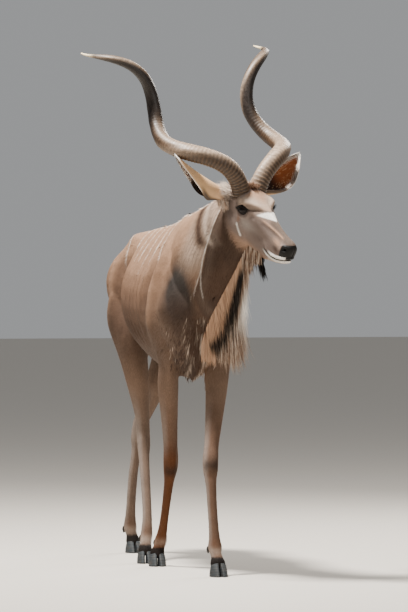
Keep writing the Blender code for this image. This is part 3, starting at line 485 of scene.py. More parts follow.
def legPush(points):
    low = np.nonzero(points[:, 2] < 0.72)[0]
    push = np.zeros(len(points))
    table = limbStations()
    away = points[low][:, None] - table[None, :, :3]
    near = (away**2).sum(2).argmin(1)
    row = table[near]
    spoke = points[low] - row[:, :3]
    fore = (spoke * row[:, 3:6]).sum(1)
    wide = np.abs((spoke * row[:, 6:9]).sum(1))
    height = points[low][:, 2]
    for kind, legs in (("foreleg", (0, 1)), ("hindleg", (2, 3))):
        chosen = np.isin(row[:, 9], legs)
        amount = np.zeros(len(low))
        for side, level, reach, stands in legRelief[kind]:
            amount += stands * soft(fore * side, 0.2, 0.9) * bump(height, level, reach)
        shaft = soft(height, tendon["low"], tendon["low"] + 0.04)
        shaft *= 1 - soft(height, tendon["high"][kind] - 0.04, tendon["high"][kind])
        amount -= tendon["depth"] * shaft * bump(fore, -0.30, 0.26) * soft(wide, 0.45, 0.85)
        gaskin = bump(height, tendon["high"][kind] + 0.22, 0.07)
        amount -= 0.0040 * gaskin * bump(fore, -0.45, 0.22) * soft(wide, 0.3, 0.8)
        push[low] += amount * chosen
    return push


def skinRelief(points):
    forward, side, height = bodyCoords(points)
    push = np.zeros(len(points))
    for f, s, z, rf, rs, rz, amount in relief:
        push += amount * np.exp(
            -(((forward - f) / rf) ** 2) - (((np.abs(side - torsoSide) - s) / rs) ** 2)
            - (((height - z) / rz) ** 2)
        )
    inside = (soft(forward, ribs["from"], ribs["from"] + 0.08)
              * (1 - soft(forward, ribs["to"] - 0.08, ribs["to"])))
    inside *= (soft(height, ribs["low"], ribs["low"] + 0.08)
               * (1 - soft(height, ribs["high"] - 0.1, ribs["high"])))
    wave = np.cos(2 * math.pi * (forward + 0.35 * (height - 1.05)) / ribs["spacing"])
    return push + ribs["height"] * inside * wave


# The face: where features lie, along the nose and out of the forehead
faceSet = {
    "mouth": ((0.226, -0.124), (0.245, -0.131), (0.270, -0.131), (0.300, -0.121), (0.330, -0.105),
              (0.358, -0.086)),
    "mouthCorner": (0.236, -0.1275),
    "nostril": (0.327, -0.056),
    "nostrilSlant": 0.35,
    "brow": (0.158, 0.95),  # how far down the nose the brow ends at the middle, and its slant to the side
    "chevronTop": (0.162, 0.5),
    "chevronFoot": (0.211, 1.6),
    "eyeCorners": ((0.046, -0.059), (0.103, -0.037)),
    "cheekMark": ((0.076, -0.112), (0.104, -0.150)),
    "lidDark": (0.0148, 0.0190),
}
# Forms of the face: how far each stands out, then what bounds it
faceForms = (
    (-0.0055, "mouth", band("overLip", 0.0, 0.0024)),  # line of the mouth
    (0.0026, "mouth", band("overLip", 0.0090, 0.0055)),  # upper lip
    (0.0022, "mouth", band("overLip", -0.0085, 0.0050)),  # lower lip
    (-0.0120, "nostril", band("fromNostril", 0.0, 0.0095), band("overSlit", 0.0, 0.0068)),
    (0.0042, "nostril", band("fromNostril", -0.010, 0.012), band("overSlit", 0.0125, 0.006)),  # its upper rim
    (0.0024, "nostril", band("fromNostril", -0.016, 0.006), band("overSlit", 0.0, 0.010)),  # its rear rim
    # Nose groove
    (-0.0020, band("side", 0.0, 0.0022), band("along", 0.354, 0.012), rise("out", -0.080, -0.074)),
    # Split of the lip
    (-0.0030, band("side", 0.0, 0.0018), band("along", 0.354, 0.020), fall("out", -0.076, -0.070)),
    (-0.0130, "flank", fall("socket", 0.014, 0.026)),
    (0.0030, "flank", band("socket", 0.034, 0.006), fall("out", -0.050, -0.030)),  # rim of the socket
    (0.0095, "flank", band("along", 0.070, 0.030), band("out", -0.013, 0.010)),  # ridge over the eye
    (0.0045, band("pastBrow", -0.013, 0.011), rise("side", 0.012, 0.035), rise("out", -0.040, -0.020)),
    (-0.0040, band("pastBrow", 0.006, 0.008), rise("side", 0.012, 0.030), rise("out", -0.045, -0.020)),
    (-0.0050, "flank", band("along", 0.128, 0.012), band("out", -0.046, 0.009)),  # before the eye
    (0.0070, band("along", 0.070, 0.050), band("out", -0.120, 0.030)),  # cheek
    (0.0030, band("along", 0.150, 0.060), band("out", -0.165, 0.016)),  # jaw
    (-0.0045, band("along", 0.200, 0.035), band("out", -0.092, 0.018)),  # hollow of the muzzle
    (0.0024, band("along", 0.215, 0.070), band("out", -0.033, 0.006)),  # edge of the nose bone
    (-0.0016, band("along", 0.180, 0.070), band("side", 0.0, 0.009), rise("out", -0.030, -0.010)),
    # Root of the horns
    (0.0030, band("along", 0.010, 0.030), band("side", 0.045, 0.020), rise("out", -0.030, 0.0)),
)


def mouthLine(along):
    line = faceSet["mouth"]
    return np.interp(along, [p[0] for p in line], [p[1] for p in line])


def slanted(key, side):
    middle, slant = faceSet[key]
    return middle - slant * side


def eyeGap(along, outward):  # distance from the eye's middle, measured along its own slanted almond
    tilt = math.radians(lidSet["tilt"])
    far, high = along - eyeSet["along"], outward - eyeSet["out"] + lidSet["droop"]
    across = (far * math.cos(tilt) + high * math.sin(tilt)) / 1.55
    return np.hypot(across, high * math.cos(tilt) - far * math.sin(tilt))


def padOf(along, outward):  # share of bare nose skin
    line = mouthLine(along)
    foot, past = line + 0.10 * (0.355 - along), 0.55 * (along - 0.31)
    pad = soft(along, 0.309, 0.317) * soft(outward, foot + 0.012, foot + 0.018)
    pad *= 1 - soft(outward, past - 0.047, past - 0.041)
    tip = soft(along, 0.344, 0.350) * soft(outward, line + 0.001, line + 0.004)
    return np.maximum(pad, tip * (1 - soft(outward, -0.030, -0.024)))


def faceTerms(points):  # coordinates and shares that bound the forms and marks of the face
    along, side, outward = headCoords(points)
    side = np.abs(side)
    nostrilAlong, nostrilOut = faceSet["nostril"]
    cornerAlong, cornerOut = faceSet["mouthCorner"]
    pastBrow = along - slanted("brow", side)
    top = soft(outward, -0.046, -0.026)
    lidEdge = 1 - soft(eyeGap(along, outward), *faceSet["lidDark"])
    return {
        "along": along,
        "side": side,
        "out": outward,
        "overLip": outward - mouthLine(along),
        "mouth": soft(along, 0.225, 0.240),
        "nostril": soft(side, 0.006, 0.012),
        "fromNostril": along - nostrilAlong,
        "overSlit": outward - nostrilOut - faceSet["nostrilSlant"] * (along - nostrilAlong),
        "socket": np.hypot(along - eyeSet["along"], (outward - eyeSet["out"]) * 1.15),
        "flank": soft(side, 0.025, 0.040),
        "pastBrow": pastBrow,
        "pastTop": along - slanted("chevronTop", side),
        "pastFoot": along - slanted("chevronFoot", side),
        "pastEars": along - 0.25 * side,
        "top": top,
        "bridge": top * soft(pastBrow, 0.0, 0.01),
        "nosePale": soft(along, 0.165, 0.180) * (1 - soft(along, 0.285, 0.300)),
        "browPale": 0.50 + 0.25 * soft(side, 0.01, 0.04),
        "cheekGap": lineGap(along, outward, faceSet["cheekMark"]),
        "corner": np.hypot((along - cornerAlong) / 1.9, outward - cornerOut),
        "pad": padOf(along, outward),
        "lidEdge": np.maximum(bump(lineGap(along, outward, faceSet["eyeCorners"]), 0.0, 0.0060), lidEdge),
    }


def facePush(points):
    terms = faceTerms(points)
    push = sum(stands * within(terms, factors) for stands, *factors in faceForms)
    return push * soft(terms["along"], -0.06, -0.02)


def buildSkin():
    bm = bmesh.new()
    loft(bm, torsoRings())
    loft(bm, neckRings())
    loft(bm, skullRings())
    for rows in legRows.values():
        loft(bm, limbRings(rows, 54))
    loft(bm, limbRings(tailRows, 20))
    fold = bmesh.ops.create_uvsphere(bm, u_segments=24, v_segments=14, radius=1)["verts"]
    turn = Matrix.Translation(place(*skinSet["sheath"])) @ Matrix.Diagonal((0.028, 0.100, 0.040, 1))
    bmesh.ops.transform(bm, matrix=turn, verts=fold)
    bmesh.ops.recalc_face_normals(bm, faces=bm.faces)
    obj = newObject("skin", meshFrom(bm, "skin"))
    remesh = obj.modifiers.new("Remesh", "REMESH")
    remesh.mode = "VOXEL"
    remesh.voxel_size = skinSet["voxel"]
    applied(obj)
    points, _ = arrays(obj.data)
    head, _, leg = partOf(points)
    for name, shares, repeats in (("all", np.ones(len(points)), 5), ("trunk", (1 - head) * (1 - leg), 26)):
        group = obj.vertex_groups.new(name=name)
        for level in range(1, 11):
            chosen = np.nonzero(np.round(shares * 10) == level)[0]
            if len(chosen):
                group.add(chosen.tolist(), level / 10, "REPLACE")
        smooth = obj.modifiers.new(name, "SMOOTH")
        smooth.vertex_group = name
        smooth.factor = 0.5
        smooth.iterations = repeats
    applied(obj)
    points, normals = arrays(obj.data)
    points += normals * (skinRelief(points) * (1 - head))[:, None]
    obj.data.vertices.foreach_set("co", points.ravel())
    obj.data.calc_loop_triangles()
    thin = obj.modifiers.new("Decimate", "DECIMATE")
    thin.ratio = skinSet["triangles"] / len(obj.data.loop_triangles)
    thin.use_collapse_triangulate = True
    keep = obj.vertex_groups.new(name="thinned")
    keep.add(np.nonzero(head < 0.5)[0].tolist(), 1.0, "REPLACE")
    thin.vertex_group = "thinned"
    applied(obj)
    obj.vertex_groups.clear()
    refineFace(obj)
    refineMarks(obj)
    points, normals = arrays(obj.data)
    head, _, leg = partOf(points)
    depth = skinSet["coatDepthTrunk"] * (1 - head) * (1 - leg)
    depth += skinSet["coatDepthLeg"] * leg + skinSet["coatDepthFace"] * head
    push = legPush(points) + facePush(points) * head - depth
    points = points + normals * push[:, None]
    obj.data.vertices.foreach_set("co", points.ravel())
    obj.data.update()
    return obj


def refineFace(obj):  # the front of the head gets four times the faces
    bm = bmesh.new()
    bm.from_mesh(obj.data)
    chosen = []
    for edge in bm.edges:
        away = (edge.verts[0].co + edge.verts[1].co) / 2 - headAt
        along, side, outward = away.dot(nose), abs(away.dot(left)), away.dot(out)
        muzzle = along > 0.215
        socket = side > 0.02 and math.hypot(along - eyeSet["along"], outward - eyeSet["out"]) < 0.048
        if muzzle or socket:
            chosen.append(edge)
    bmesh.ops.subdivide_edges(bm, edges=chosen, cuts=1, use_grid_fill=True, smooth=0.3)
    bmesh.ops.triangulate(bm, faces=[f for f in bm.faces if len(f.verts) > 4])
    bm.to_mesh(obj.data)
    bm.free()


def refineMarks(obj):  # shorter edges on the trunk and neck, and shorter still along the stripes and lines
    bm = bmesh.new()
    bm.from_mesh(obj.data)
    for _ in range(refineSet["passes"]):
        edges = list(bm.edges)
        ends = np.array([(*edge.verts[0].co, *edge.verts[1].co) for edge in edges])
        middles = (ends[:, :3] + ends[:, 3:]) / 2
        lengths = np.linalg.norm(ends[:, 3:] - ends[:, :3], axis=1)
        head, _, leg = partOf(middles)
        limit = np.where((head < 0.3) & (leg < 0.5), refineSet["plain"], refineSet["limb"])
        limit = np.where(nearMarks(middles) & (head < 0.6), refineSet["marked"], limit)
        chosen = [edges[i] for i in np.nonzero(lengths > limit)[0]]
        bmesh.ops.subdivide_edges(bm, edges=chosen, cuts=1)
        bmesh.ops.triangulate(bm, faces=[f for f in bm.faces if len(f.verts) > 3])
    bm.to_mesh(obj.data)
    bm.free()


def nearMarks(points):
    forward, _, height = bodyCoords(points)
    near = np.zeros(len(points), bool)
    for spine, low, _, _ in stripes:
        line = stripeLine(spine, height)
        near |= (np.abs(forward - line) < 0.016) & (height > low - 0.01)
    for line in (neckLine, neckFork):
        near |= lineGap(forward, height, line) < 0.014
    return near


refineSet = {"passes": 2, "plain": 0.020, "limb": 0.020, "marked": 0.0055}
# Stripes of each flank: forward at the spine, lowest height, half width, strength
stripes = (
    (0.190, 1.15, 0.0026, 0.60),
    (0.105, 1.12, 0.0030, 0.75),
    (0.012, 1.14, 0.0028, 0.60),
    (-0.095, 1.09, 0.0032, 0.75),
    (-0.190, 1.13, 0.0028, 0.60),
    (-0.310, 1.15, 0.0036, 0.95),
    (-0.425, 1.17, 0.0028, 0.60),
    (-0.540, 1.18, 0.0028, 0.45),
)
stripeLean = 0.42  # how far forward a stripe runs for each metre down
# Line down each side of the neck, and its fork: a white painted highlight runs along both, and the front of
# the neck past the line is given painted shade
neckLine = ((0.812, 1.430), (0.803, 1.385), (0.788, 1.328), (0.764, 1.262), (0.739, 1.192), (0.705, 1.140),
            (0.678, 1.100))
neckFork = ((0.739, 1.192), (0.724, 1.130), (0.714, 1.085))


def stripeLine(spine, height):
    return spine + stripeLean * (1.37 - height) + 0.004 * np.sin(height * 17 + spine * 40)


skin = buildSkin()
skinPoints, skinNormals = arrays(skin.data)
skinBm = bmesh.new()
skinBm.from_mesh(skin.data)
skinTree = BVHTree.FromBMesh(skinBm)
skinBm.free()
skin.data.calc_loop_triangles()
print("skin", len(skin.data.loop_triangles))

# Colours of the coat, in sRGB
tones = {
    "fawn": "#785C48",
    "sand": "#A3826A",
    "back": "#8E7059",
    "grey": "#64564C",
    "slate": "#37322F",
    "umber": "#3C2B21",
    "tawny": "#532F16",
    "rust": "#7E4322",
    "orange": "#8C5838",
    "pale": "#BDAB9B",
    "white": "#F2ECE4",
    "black": "#120E0C",
    "cheek": "#7A6A62",
    "tan": "#B8957A",
    "gold": "#CFA87C",
    "lilac": "#9A8F88",
}
tone = {name: np.array(linear(value)) for name, value in tones.items()}


def painted(colour, name, mask):
    mask = np.clip(mask, 0, 1)[:, None]
    return colour * (1 - mask) + tone[name] * mask


kneePatches = ((0.600, 0.430), (0.155, 0.388))  # forward and height of the dark inner knees


def layered(colour, marks, terms):  # each mark is a tone, its strength and what bounds it
    for name, strength, *factors in marks:
        colour = painted(colour, name, strength * within(terms, factors))
    return colour


def mottled(points):  # patches two to six centimetres across, streaked along the lie
    forward, side, height = bodyCoords(points)
    broad = (np.sin(61 * forward + 23 * height + 2 * np.sin(31 * height))
             * np.sin(47 * height - 19 * forward + 9 * side))
    fine = np.sin(190 * forward + 95 * height + 3 * np.sin(44 * height)) * np.sin(52 * height - 30 * side)
    return 1 + 0.050 * broad + 0.045 * fine


# Marks of the coat in the order they are laid, painted light and shade among them: tone, strength, then what
# bounds it
bodyMarks = {
    "trunk": (
        ("back", 0.8, rise("height", 1.16, 1.34)),
        # Painted shade lower on the body
        ("grey", 0.50, fall("height", 0.92, 1.15)),
        ("umber", 0.40, fall("height", 0.86, 1.12), "notLeg"),
        # Painted light where the coat faces up
        ("sand", 0.6, rise("up", 0.25, 0.9), rise("height", 1.0, 1.2)),
        # Painted shade where the coat faces down, toward the chest
        ("umber", 0.55, fall("up", -0.9, -0.4), rise("forward", 0.1, 0.4)),
        # Painted shade low on the barrel
        ("umber", 0.72, fall("height", 1.02, 1.26), band("forward", 0.02, 0.30), "notLeg"),
        ("umber", 0.75, band("forward", 0.262, 0.030), rise("height", 0.98, 1.06), fall("height", 1.16, 1.24),
         rise("off", 0.08, 0.12)),  # painted shade in the furrow behind the shoulder
        ("sand", 0.45, band("forward", 0.335, 0.022), rise("height", 0.94, 1.0), fall("height", 1.12, 1.2),
         rise("off", 0.09, 0.13)),  # lit edge of the shoulder
        ("umber", 0.62, rise("forward", -0.430, -0.375), fall("forward", -0.280, -0.225),
         # Painted shade in the fold of the flank
         rise("height", 0.86, 0.96), fall("height", 1.20, 1.27), rise("off", 0.06, 0.10)),
        ("sand", 0.40, band("forward", -0.470, 0.060), band("height", 1.145, 0.070)),  # painted light on the thigh
        ("slate", 1.7, band("forward", 0.590, 0.080), band("height", 1.105, 0.115), rise("off", 0.02, 0.06),
         "notHead"),
        ("umber", 0.70, rise("forward", 0.42, 0.60), fall("height", 1.02, 1.16), "notLeg"),  # chest
    ),
    "neck": (
        # Painted light on the top of the neck where it faces up
        ("pale", 0.7, rise("up", 0.80, 0.97), band("side", torsoSide, 0.016), rise("height", 1.25, 1.32)),
        # Painted shade on the front of the neck
        ("umber", 0.85, "neck", "front"),
        ("black", 0.35, "neck", "front", rise("height", 1.16, 1.27)),
        ("grey", 0.35, "neck", "front", band("pastLine", 0.030, 0.020)),
        # Painted light on the lit side of the neck's base, with darker strands in it
        ("pale", 0.45, "neck", "light"),
        ("grey", 0.40, "neck", rise("strand", 0.2, 0.9)),
        ("pale", 0.70, "neck", rise("height", 1.28, 1.31), band("pastBand", 0.056, 0.014)),
        ("grey", 0.55, "neck", rise("height", 1.28, 1.31), band("pastBand", 0.092, 0.024)),
        # Band behind the ear: dark mane hair with a painted shadow of the ear on it
        ("umber", 1.0, "neck", band("pastBand", -0.004, 0.040), rise("height", 1.268, 1.305)),
        # Painted highlight: a white line of light along the neck, and its fork
        ("white", 0.60, band("lineGap", 0.0, 0.0018), "lineFade", "notHead", rise("forward", 0.66, 0.70)),
        ("white", 0.36, band("forkGap", 0.0, 0.0017), "notHead"),
    ),
    "legs": (
        ("tawny", 0.30, "lower", rise("forward", -0.1, 0.0)),
        ("umber", 1.0, "leg", "legShade"),
        ("umber", 0.45, "lower", rise("rear", 0.0, 0.7)),
        ("grey", 0.45, "lower", fall("forward", -0.3, -0.1)),
        ("lilac", 0.40, "lower", rise("toRight", 0.35, 0.9)),
        ("tawny", 0.92, "rightFore", fall("height", 0.42, 0.54)),
        ("black", 0.66, "knee", rise("ahead", 0.1, 0.7)),
        ("tawny", 0.30, band("height", 0.125, 0.030)),
        ("pale", 0.22, band("height", 0.098, 0.014)),
        ("white", 0.85, band("height", 0.096, 0.015), rise("toLeft", 0.60, 0.9)),  # pastern
        ("black", 0.97, fall("height", 0.072, 0.081)),  # band over the hoof
        # Tail
        ("umber", 0.6, fall("forward", -0.80, -0.77), fall("height", 0.90, 1.02), rise("height", 0.7, 0.8)),
    ),
    "face": (
        ("lilac", 0.8, band("along", 0.120, 0.042), band("out", -0.088, 0.026)),
        ("umber", 0.25, band("along", 0.165, 0.035), band("out", -0.110, 0.020)),
        ("sand", 0.75, fall("out", -0.180, -0.140), rise("along", 0.02, 0.10)),
        ("umber", 0.85, band("along", 0.207, 0.013), fall("out", -0.172, -0.156)),
        ("slate", 0.55, fall("along", -0.03, 0.035)),
        ("sand", 1.0, "top", rise("pastEars", 0.030, 0.042), fall("pastBrow", -0.006, 0.002)),
        # Pale band on the brow: partly the coat's tone, partly painted light on the ledge of the brow
        ("pale", 1.0, "top", band("pastBrow", -0.026, 0.030), "browPale"),
        ("orange", 0.6, band("along", 0.016, 0.014), band("side", 0.0, 0.020), "top"),
        ("fawn", 0.35, "bridge"),
        ("umber", 0.80, "bridge", band("side", 0.016, 0.014), rise("along", 0.19, 0.21)),
        ("grey", 0.55, "bridge", rise("along", 0.19, 0.21)),
        # Painted shadow under the ledge of the brow
        ("umber", 0.75, band("pastBrow", 0.003, 0.0055), "top", rise("side", 0.004, 0.03)),
        # Painted highlight along the edge of the nose bone, with painted shade below it
        ("umber", 0.40, band("out", -0.042, 0.007), "nosePale"),
        ("sand", 0.85, band("out", -0.0315, 0.0030), "nosePale"),
        ("white", 1.0, rise("pastTop", -0.003, 0.003), fall("pastFoot", -0.004, 0.004),
         rise("out", -0.062, -0.044)),
        ("white", 0.9, band("cheekGap", 0.0, 0.0030), rise("side", 0.02, 0.03)),
        ("orange", 0.45, band("along", 0.078, 0.010), band("out", -0.088, 0.016), rise("side", 0.03, 0.04)),
        ("sand", 0.9, band("along", 0.280, 0.024), band("out", -0.056, 0.011)),
        ("umber", 0.85, band("along", 0.288, 0.022), band("out", -0.083, 0.012)),
        ("white", 1.0, rise("along", 0.245, 0.270), rise("overLip", -0.001, 0.001),
         fall("overLip", 0.016, 0.021)),
        ("white", 0.95, rise("along", 0.215, 0.235), fall("overLip", -0.004, -0.001),
         rise("overLip", -0.016, -0.010)),
        ("pale", 0.6, rise("along", 0.240, 0.260), fall("overLip", -0.014, -0.008)),
        ("black", 1.0, "pad"),
        ("black", 1.0, band("overLip", 0.0, 0.0032), rise("along", 0.226, 0.234)),
        ("black", 1.0, band("corner", 0.0, 0.0062)),
        ("black", 0.96, "lidEdge", rise("side", 0.03, 0.04)),
    ),
}


def bodyTerms(points, normals):  # coordinates and shares that bound the marks of the body
    forward, side, height = bodyCoords(points)
    head, neck, leg = partOf(points)
    places, levels = zip(*neckLine[::-1])
    pastLine = forward - np.interp(height, levels, places)
    # front is the neck past the line, given painted shade; light is the lit side behind it, given painted
    # light
    front = soft(pastLine, -0.004, 0.012)
    light = soft(height, 1.14, 1.26) * (1 - front) * soft(forward, 0.56, 0.70)
    lower = 1 - soft(height, 0.52, 0.74)
    knees = [bump(forward, fore + 0.02, 0.040) * bump(height, level, 0.024) for fore, level in kneePatches]
    return {
        "forward": forward,
        "side": side,
        "height": height,
        "off": np.abs(side - torsoSide),
        "up": normals[:, 2],
        "rear": normals[:, 1],
        "ahead": -normals[:, 1],
        "toLeft": normals[:, 0],
        "toRight": -normals[:, 0],
        "neck": neck,
        "leg": leg,
        "head": head,
        "notHead": 1 - head,
        "notLeg": 1 - leg,
        "pastLine": pastLine,
        "front": front,
        "light": light,
        "strand": np.sin(260 * pastLine + 4 * np.sin(13 * height)) * light,
        "pastBand": forward - (0.652 + 0.87 * (1.405 - height)),
        "lineGap": lineGap(forward, height, neckLine),
        "lineFade": 0.35 + 0.65 * soft(height, 1.085, 1.19),
        "forkGap": lineGap(forward, height, neckFork),
        "lower": lower,
        "legShade": 0.02 + 0.22 * lower,
        "rightFore": lower * (side < -0.01) * soft(forward, -0.05, 0.0),
        "knee": np.maximum(*knees),
    }


def faceColour(points):
    return layered(np.tile(tone["cheek"], (len(points), 1)), bodyMarks["face"], faceTerms(points))


def bodyColour(points, normals):
    terms = bodyTerms(points, normals)
    colour = layered(np.tile(tone["fawn"], (len(points), 1)), bodyMarks["trunk"], terms)
    # Keeps a stripe thin where the form turns forward
    slope = np.sqrt(np.clip(1 - normals[:, 1] ** 2, 0.02, 1))
    for spine, low, width, strength in stripes:
        reach = soft(terms["height"], low, low + 0.12) * (1 - terms["neck"]) * terms["notHead"]
        line = bump(terms["forward"], stripeLine(spine, terms["height"]), width * slope)
        colour = painted(colour, "white", strength * reach * line)
    colour = layered(colour, bodyMarks["neck"] + bodyMarks["legs"], terms)
    head = terms["head"][:, None]
    return colour * mottled(points)[:, None] * (1 - head) + faceColour(points) * head


def lieOf(points, normals):  # which way the hair lies
    head, neck, leg = partOf(points)
    trunk = 1 - np.clip(head + neck + leg, 0, 1)
    lie = trunk[:, None] * np.array((0.0, 0.86, -0.50))
    lie += neck[:, None] * np.array((-0.10, 0.42, -0.90))
    lie += leg[:, None] * np.array((0.0, 0.12, -1.0))
    lie += head[:, None] * (-np.array(nose) - 0.25 * np.array(out))
    lie -= normals * (lie * normals).sum(1)[:, None]
    length = np.linalg.norm(lie, axis=1)
    sideways = np.cross(normals, np.array((1.0, 0.0, 0.0)))
    lie = np.where(length[:, None] < 0.05, sideways, lie)
    return unit(lie)


# Unwrap of the skin for the roots: each part rolled open round its own middle line, to the nearest ring
unwrapCells = {
    "torso": (0.00, 0.00, 0.60, 0.60),
    "neck": (0.60, 0.00, 0.40, 0.45),
    "skull": (0.60, 0.45, 0.40, 0.50),
    "foreleg_left": (0.00, 0.60, 0.15, 0.40),
    "foreleg_right": (0.15, 0.60, 0.15, 0.40),
    "hindleg_left": (0.30, 0.60, 0.15, 0.40),
    "hindleg_right": (0.45, 0.60, 0.15, 0.40),
    "tail": (0.60, 0.95, 0.20, 0.05),
}


def unwrapLines():
    lines = {"torso": torsoRings()[::2], "neck": neckRings()[::2], "skull": skullRings()[::2]}
    for name, rows in legRows.items():
        lines[name] = limbRings(rows, 24)
    lines["tail"] = limbRings(tailRows, 8)
    table = []
    for name, rings in lines.items():
        cell = unwrapCells[name]
        for i, ring in enumerate(rings):
            middle = sum(ring, Vector()) / len(ring)
            up = (ring[0] - middle).normalized()
            across = (ring[len(ring) // 4] - middle).normalized()
            size = (ring[0] - ring[len(ring) // 2]).length / 2
            table.append((*middle, *up, *across, size, i / (len(rings) - 1), *cell))
    return np.array(table)


unwrapTable = unwrapLines()


def unwrapPlace(points):
    result = np.zeros((len(points), 2))
    for start in range(0, len(points), 20000):
        some = points[start : start + 20000]
        away = some[:, None, :] - unwrapTable[None, :, :3]
        gap = np.linalg.norm(away, axis=2) / unwrapTable[None, :, 9]
        near = gap.argmin(1)
        row = unwrapTable[near]
        spoke = some - row[:, :3]
        angle = np.arctan2((spoke * row[:, 6:9]).sum(1), (spoke * row[:, 3:6]).sum(1)) / (2 * math.pi) + 0.5
        result[start : start + 20000, 0] = row[:, 11] + row[:, 13] * (0.03 + 0.94 * angle)
        result[start : start + 20000, 1] = row[:, 12] + row[:, 14] * (0.03 + 0.94 * row[:, 10])
    return result


def scattered(rng, count, weigh):  # points spread over the skin by area times a wanted density
    mesh = skin.data
    corners = np.zeros(len(mesh.loop_triangles) * 3, np.int32)
    mesh.loop_triangles.foreach_get("vertices", corners)
    corners = corners.reshape(-1, 3)
    a, b, c = (skinPoints[corners[:, k]] for k in range(3))
    area = np.linalg.norm(np.cross(b - a, c - a), axis=1) / 2
    weight = area * weigh((a + b + c) / 3)
    picked = rng.choice(len(corners), size=count, p=weight / weight.sum())
    u, v = rng.random(count), rng.random(count)
    over = u + v > 1
    u, v = np.where(over, 1 - u, u), np.where(over, 1 - v, v)
    w = 1 - u - v
    shares = np.stack((w, u, v), axis=1)[:, :, None]
    points = (skinPoints[corners[picked]] * shares).sum(1)
    normals = (skinNormals[corners[picked]] * shares).sum(1)
    return points, unit(normals)


def coatMesh(name, points, faces, colours, normals, uvs):
    mesh = bpy.data.meshes.new(name)
    mesh.vertices.add(len(points))
    mesh.vertices.foreach_set("co", points.ravel())
    loops = faces.ravel()
    mesh.loops.add(len(loops))
    mesh.loops.foreach_set("vertex_index", loops)
    mesh.polygons.add(len(faces))
    mesh.polygons.foreach_set("loop_start", np.arange(len(faces), dtype=np.int32) * 3)
    mesh.update(calc_edges=True)
    mesh.polygons.foreach_set("use_smooth", np.ones(len(faces), bool))
    colourPoints(mesh, colours)
    mesh.uv_layers.new(name="OFBake").data.foreach_set("uv", uvs[loops].astype(np.float32).ravel())
    mesh.normals_split_custom_set_from_vertices(normals)
    return newObject(name, mesh)


patch = 0.003  # side of one tuft's place in the unwrap


def tufts(name, roots, normals, lies, lengths, widths, lifts, colours, rng):
    # Short flat three-sided blades, each a closed sliver of four faces
    count = len(roots)
    across = np.cross(normals, lies)
    lift = np.tan(lifts)[:, None]
    aim = unit(lies + normals * lift + across * rng.normal(0, 0.16, count)[:, None])
    base = roots - normals * 0.0003
    half = across * (widths / 2)[:, None]
    thick = normals * (widths * 0.35)[:, None]
    tip = base + aim * lengths[:, None]
    points = np.stack((base - half, base + half, base + thick, tip), axis=1).reshape(-1, 3)
    pattern = np.array(((0, 3, 2), (2, 3, 1), (1, 3, 0), (0, 2, 1)))
    faces = (pattern[None] + 4 * np.arange(count)[:, None, None]).reshape(-1, 3).astype(np.int32)
    # Painted shade and highlight on each tuft: its two base corners darker, its top and tip lighter
    shade = np.array((0.93, 0.93, 0.98, 1.05))
    tint = np.clip(colours[:, None, :] * shade[None, :, None], 0, 1).reshape(-1, 3)
    corner = np.array(((-0.5, -0.5), (0.5, -0.5), (0.0, -0.1), (0.0, 0.5))) * patch
    uvs = (unwrapPlace(roots)[:, None, :] + corner[None]).reshape(-1, 2)
    side = across * 0.22
    bent = np.stack((normals - side, normals + side, normals, normals + lies * 0.2), axis=1).reshape(-1, 3)
    return finishCoat(coatMesh(name, points, faces, tint, unit(bent), uvs))


def locks(name, roots, normals, aims, lengths, widths, bends, rootTones, midTones, tipTones, steps=5,
          flat=0.4,
          spreadAt=0.35, paint=None):
    # Longer hair: three-sided locks of several steps, widest a third of the way and closed to a point
    count = len(roots)
    aims = unit(aims)
    across = np.cross(aims, normals)
    length = np.linalg.norm(across, axis=1)[:, None]
    across = np.where(length < 1e-3, np.array((1.0, 0.0, 0.0)), across / np.maximum(length, 1e-6))
    upright = np.cross(across, aims)
    rows, tints, bent = [], [], []
    for i in range(steps):
        t = i / steps
        wide = (0.65 + 0.35 * min(1, t / spreadAt) if t < spreadAt
                else 1 - 0.85 * ((t - spreadAt) / (1 - spreadAt)) ** 1.3)
        middle = roots + aims * (lengths * t)[:, None] + bends * (lengths * t * t)[:, None]
        half = across * (widths * 0.5 * wide)[:, None]
        thick = upright * (widths * flat * wide)[:, None]
        mix = toneAlong(t, rootTones, midTones, tipTones)
        for point, direction in ((middle - half, -across), (middle + half, across),
                                 (middle + thick, upright)):
            rows.append(point)
            tints.append(mix)
            bent.append(direction * 0.55 + normals * 0.6)
    rows.append(roots + aims * lengths[:, None] + bends * lengths[:, None])
    tints.append(tipTones)
    bent.append(normals + aims * 0.2)
    points = np.stack(rows, axis=1).reshape(-1, 3)
    pattern = [(0, 1, 2)]
    for i in range(steps - 1):
        low, high = 3 * i, 3 * i + 3
        for a, b in ((0, 2), (2, 1), (1, 0)):
            pattern += [(low + a, low + b, high + b), (low + a, high + b, high + a)]
    last, tip = 3 * (steps - 1), 3 * steps
    pattern += [(last, last + 2, tip), (last + 2, last + 1, tip), (last + 1, last, tip)]
    each = 3 * steps + 1
    faces = (np.array(pattern)[None] + each * np.arange(count)[:, None, None]).reshape(-1, 3).astype(np.int32)
    tint = np.stack(tints, axis=1).reshape(-1, 3)
    if paint:
        tint = paint(points, np.repeat(np.arange(count), each))
    tint = np.clip(tint, 0, 1)
    corner = []
    for i in range(steps):
        v = i / steps - 0.5
        corner += [(-0.5, v), (0.5, v), (0.0, v)]
    corner.append((0.0, 0.5))
    uvs = (unwrapPlace(roots)[:, None, :] + (np.array(corner) * patch)[None]).reshape(-1, 2)
    bent = unit(np.stack(bent, axis=1).reshape(-1, 3), 1e-6)
    return finishCoat(coatMesh(name, points, faces, tint, bent, uvs))


def toneAlong(t, rootTones, midTones, tipTones):
    if t < 0.5:
        return rootTones * (1 - t * 2) + midTones * (t * 2)
    return midTones * (2 - t * 2) + tipTones * (t * 2 - 1)


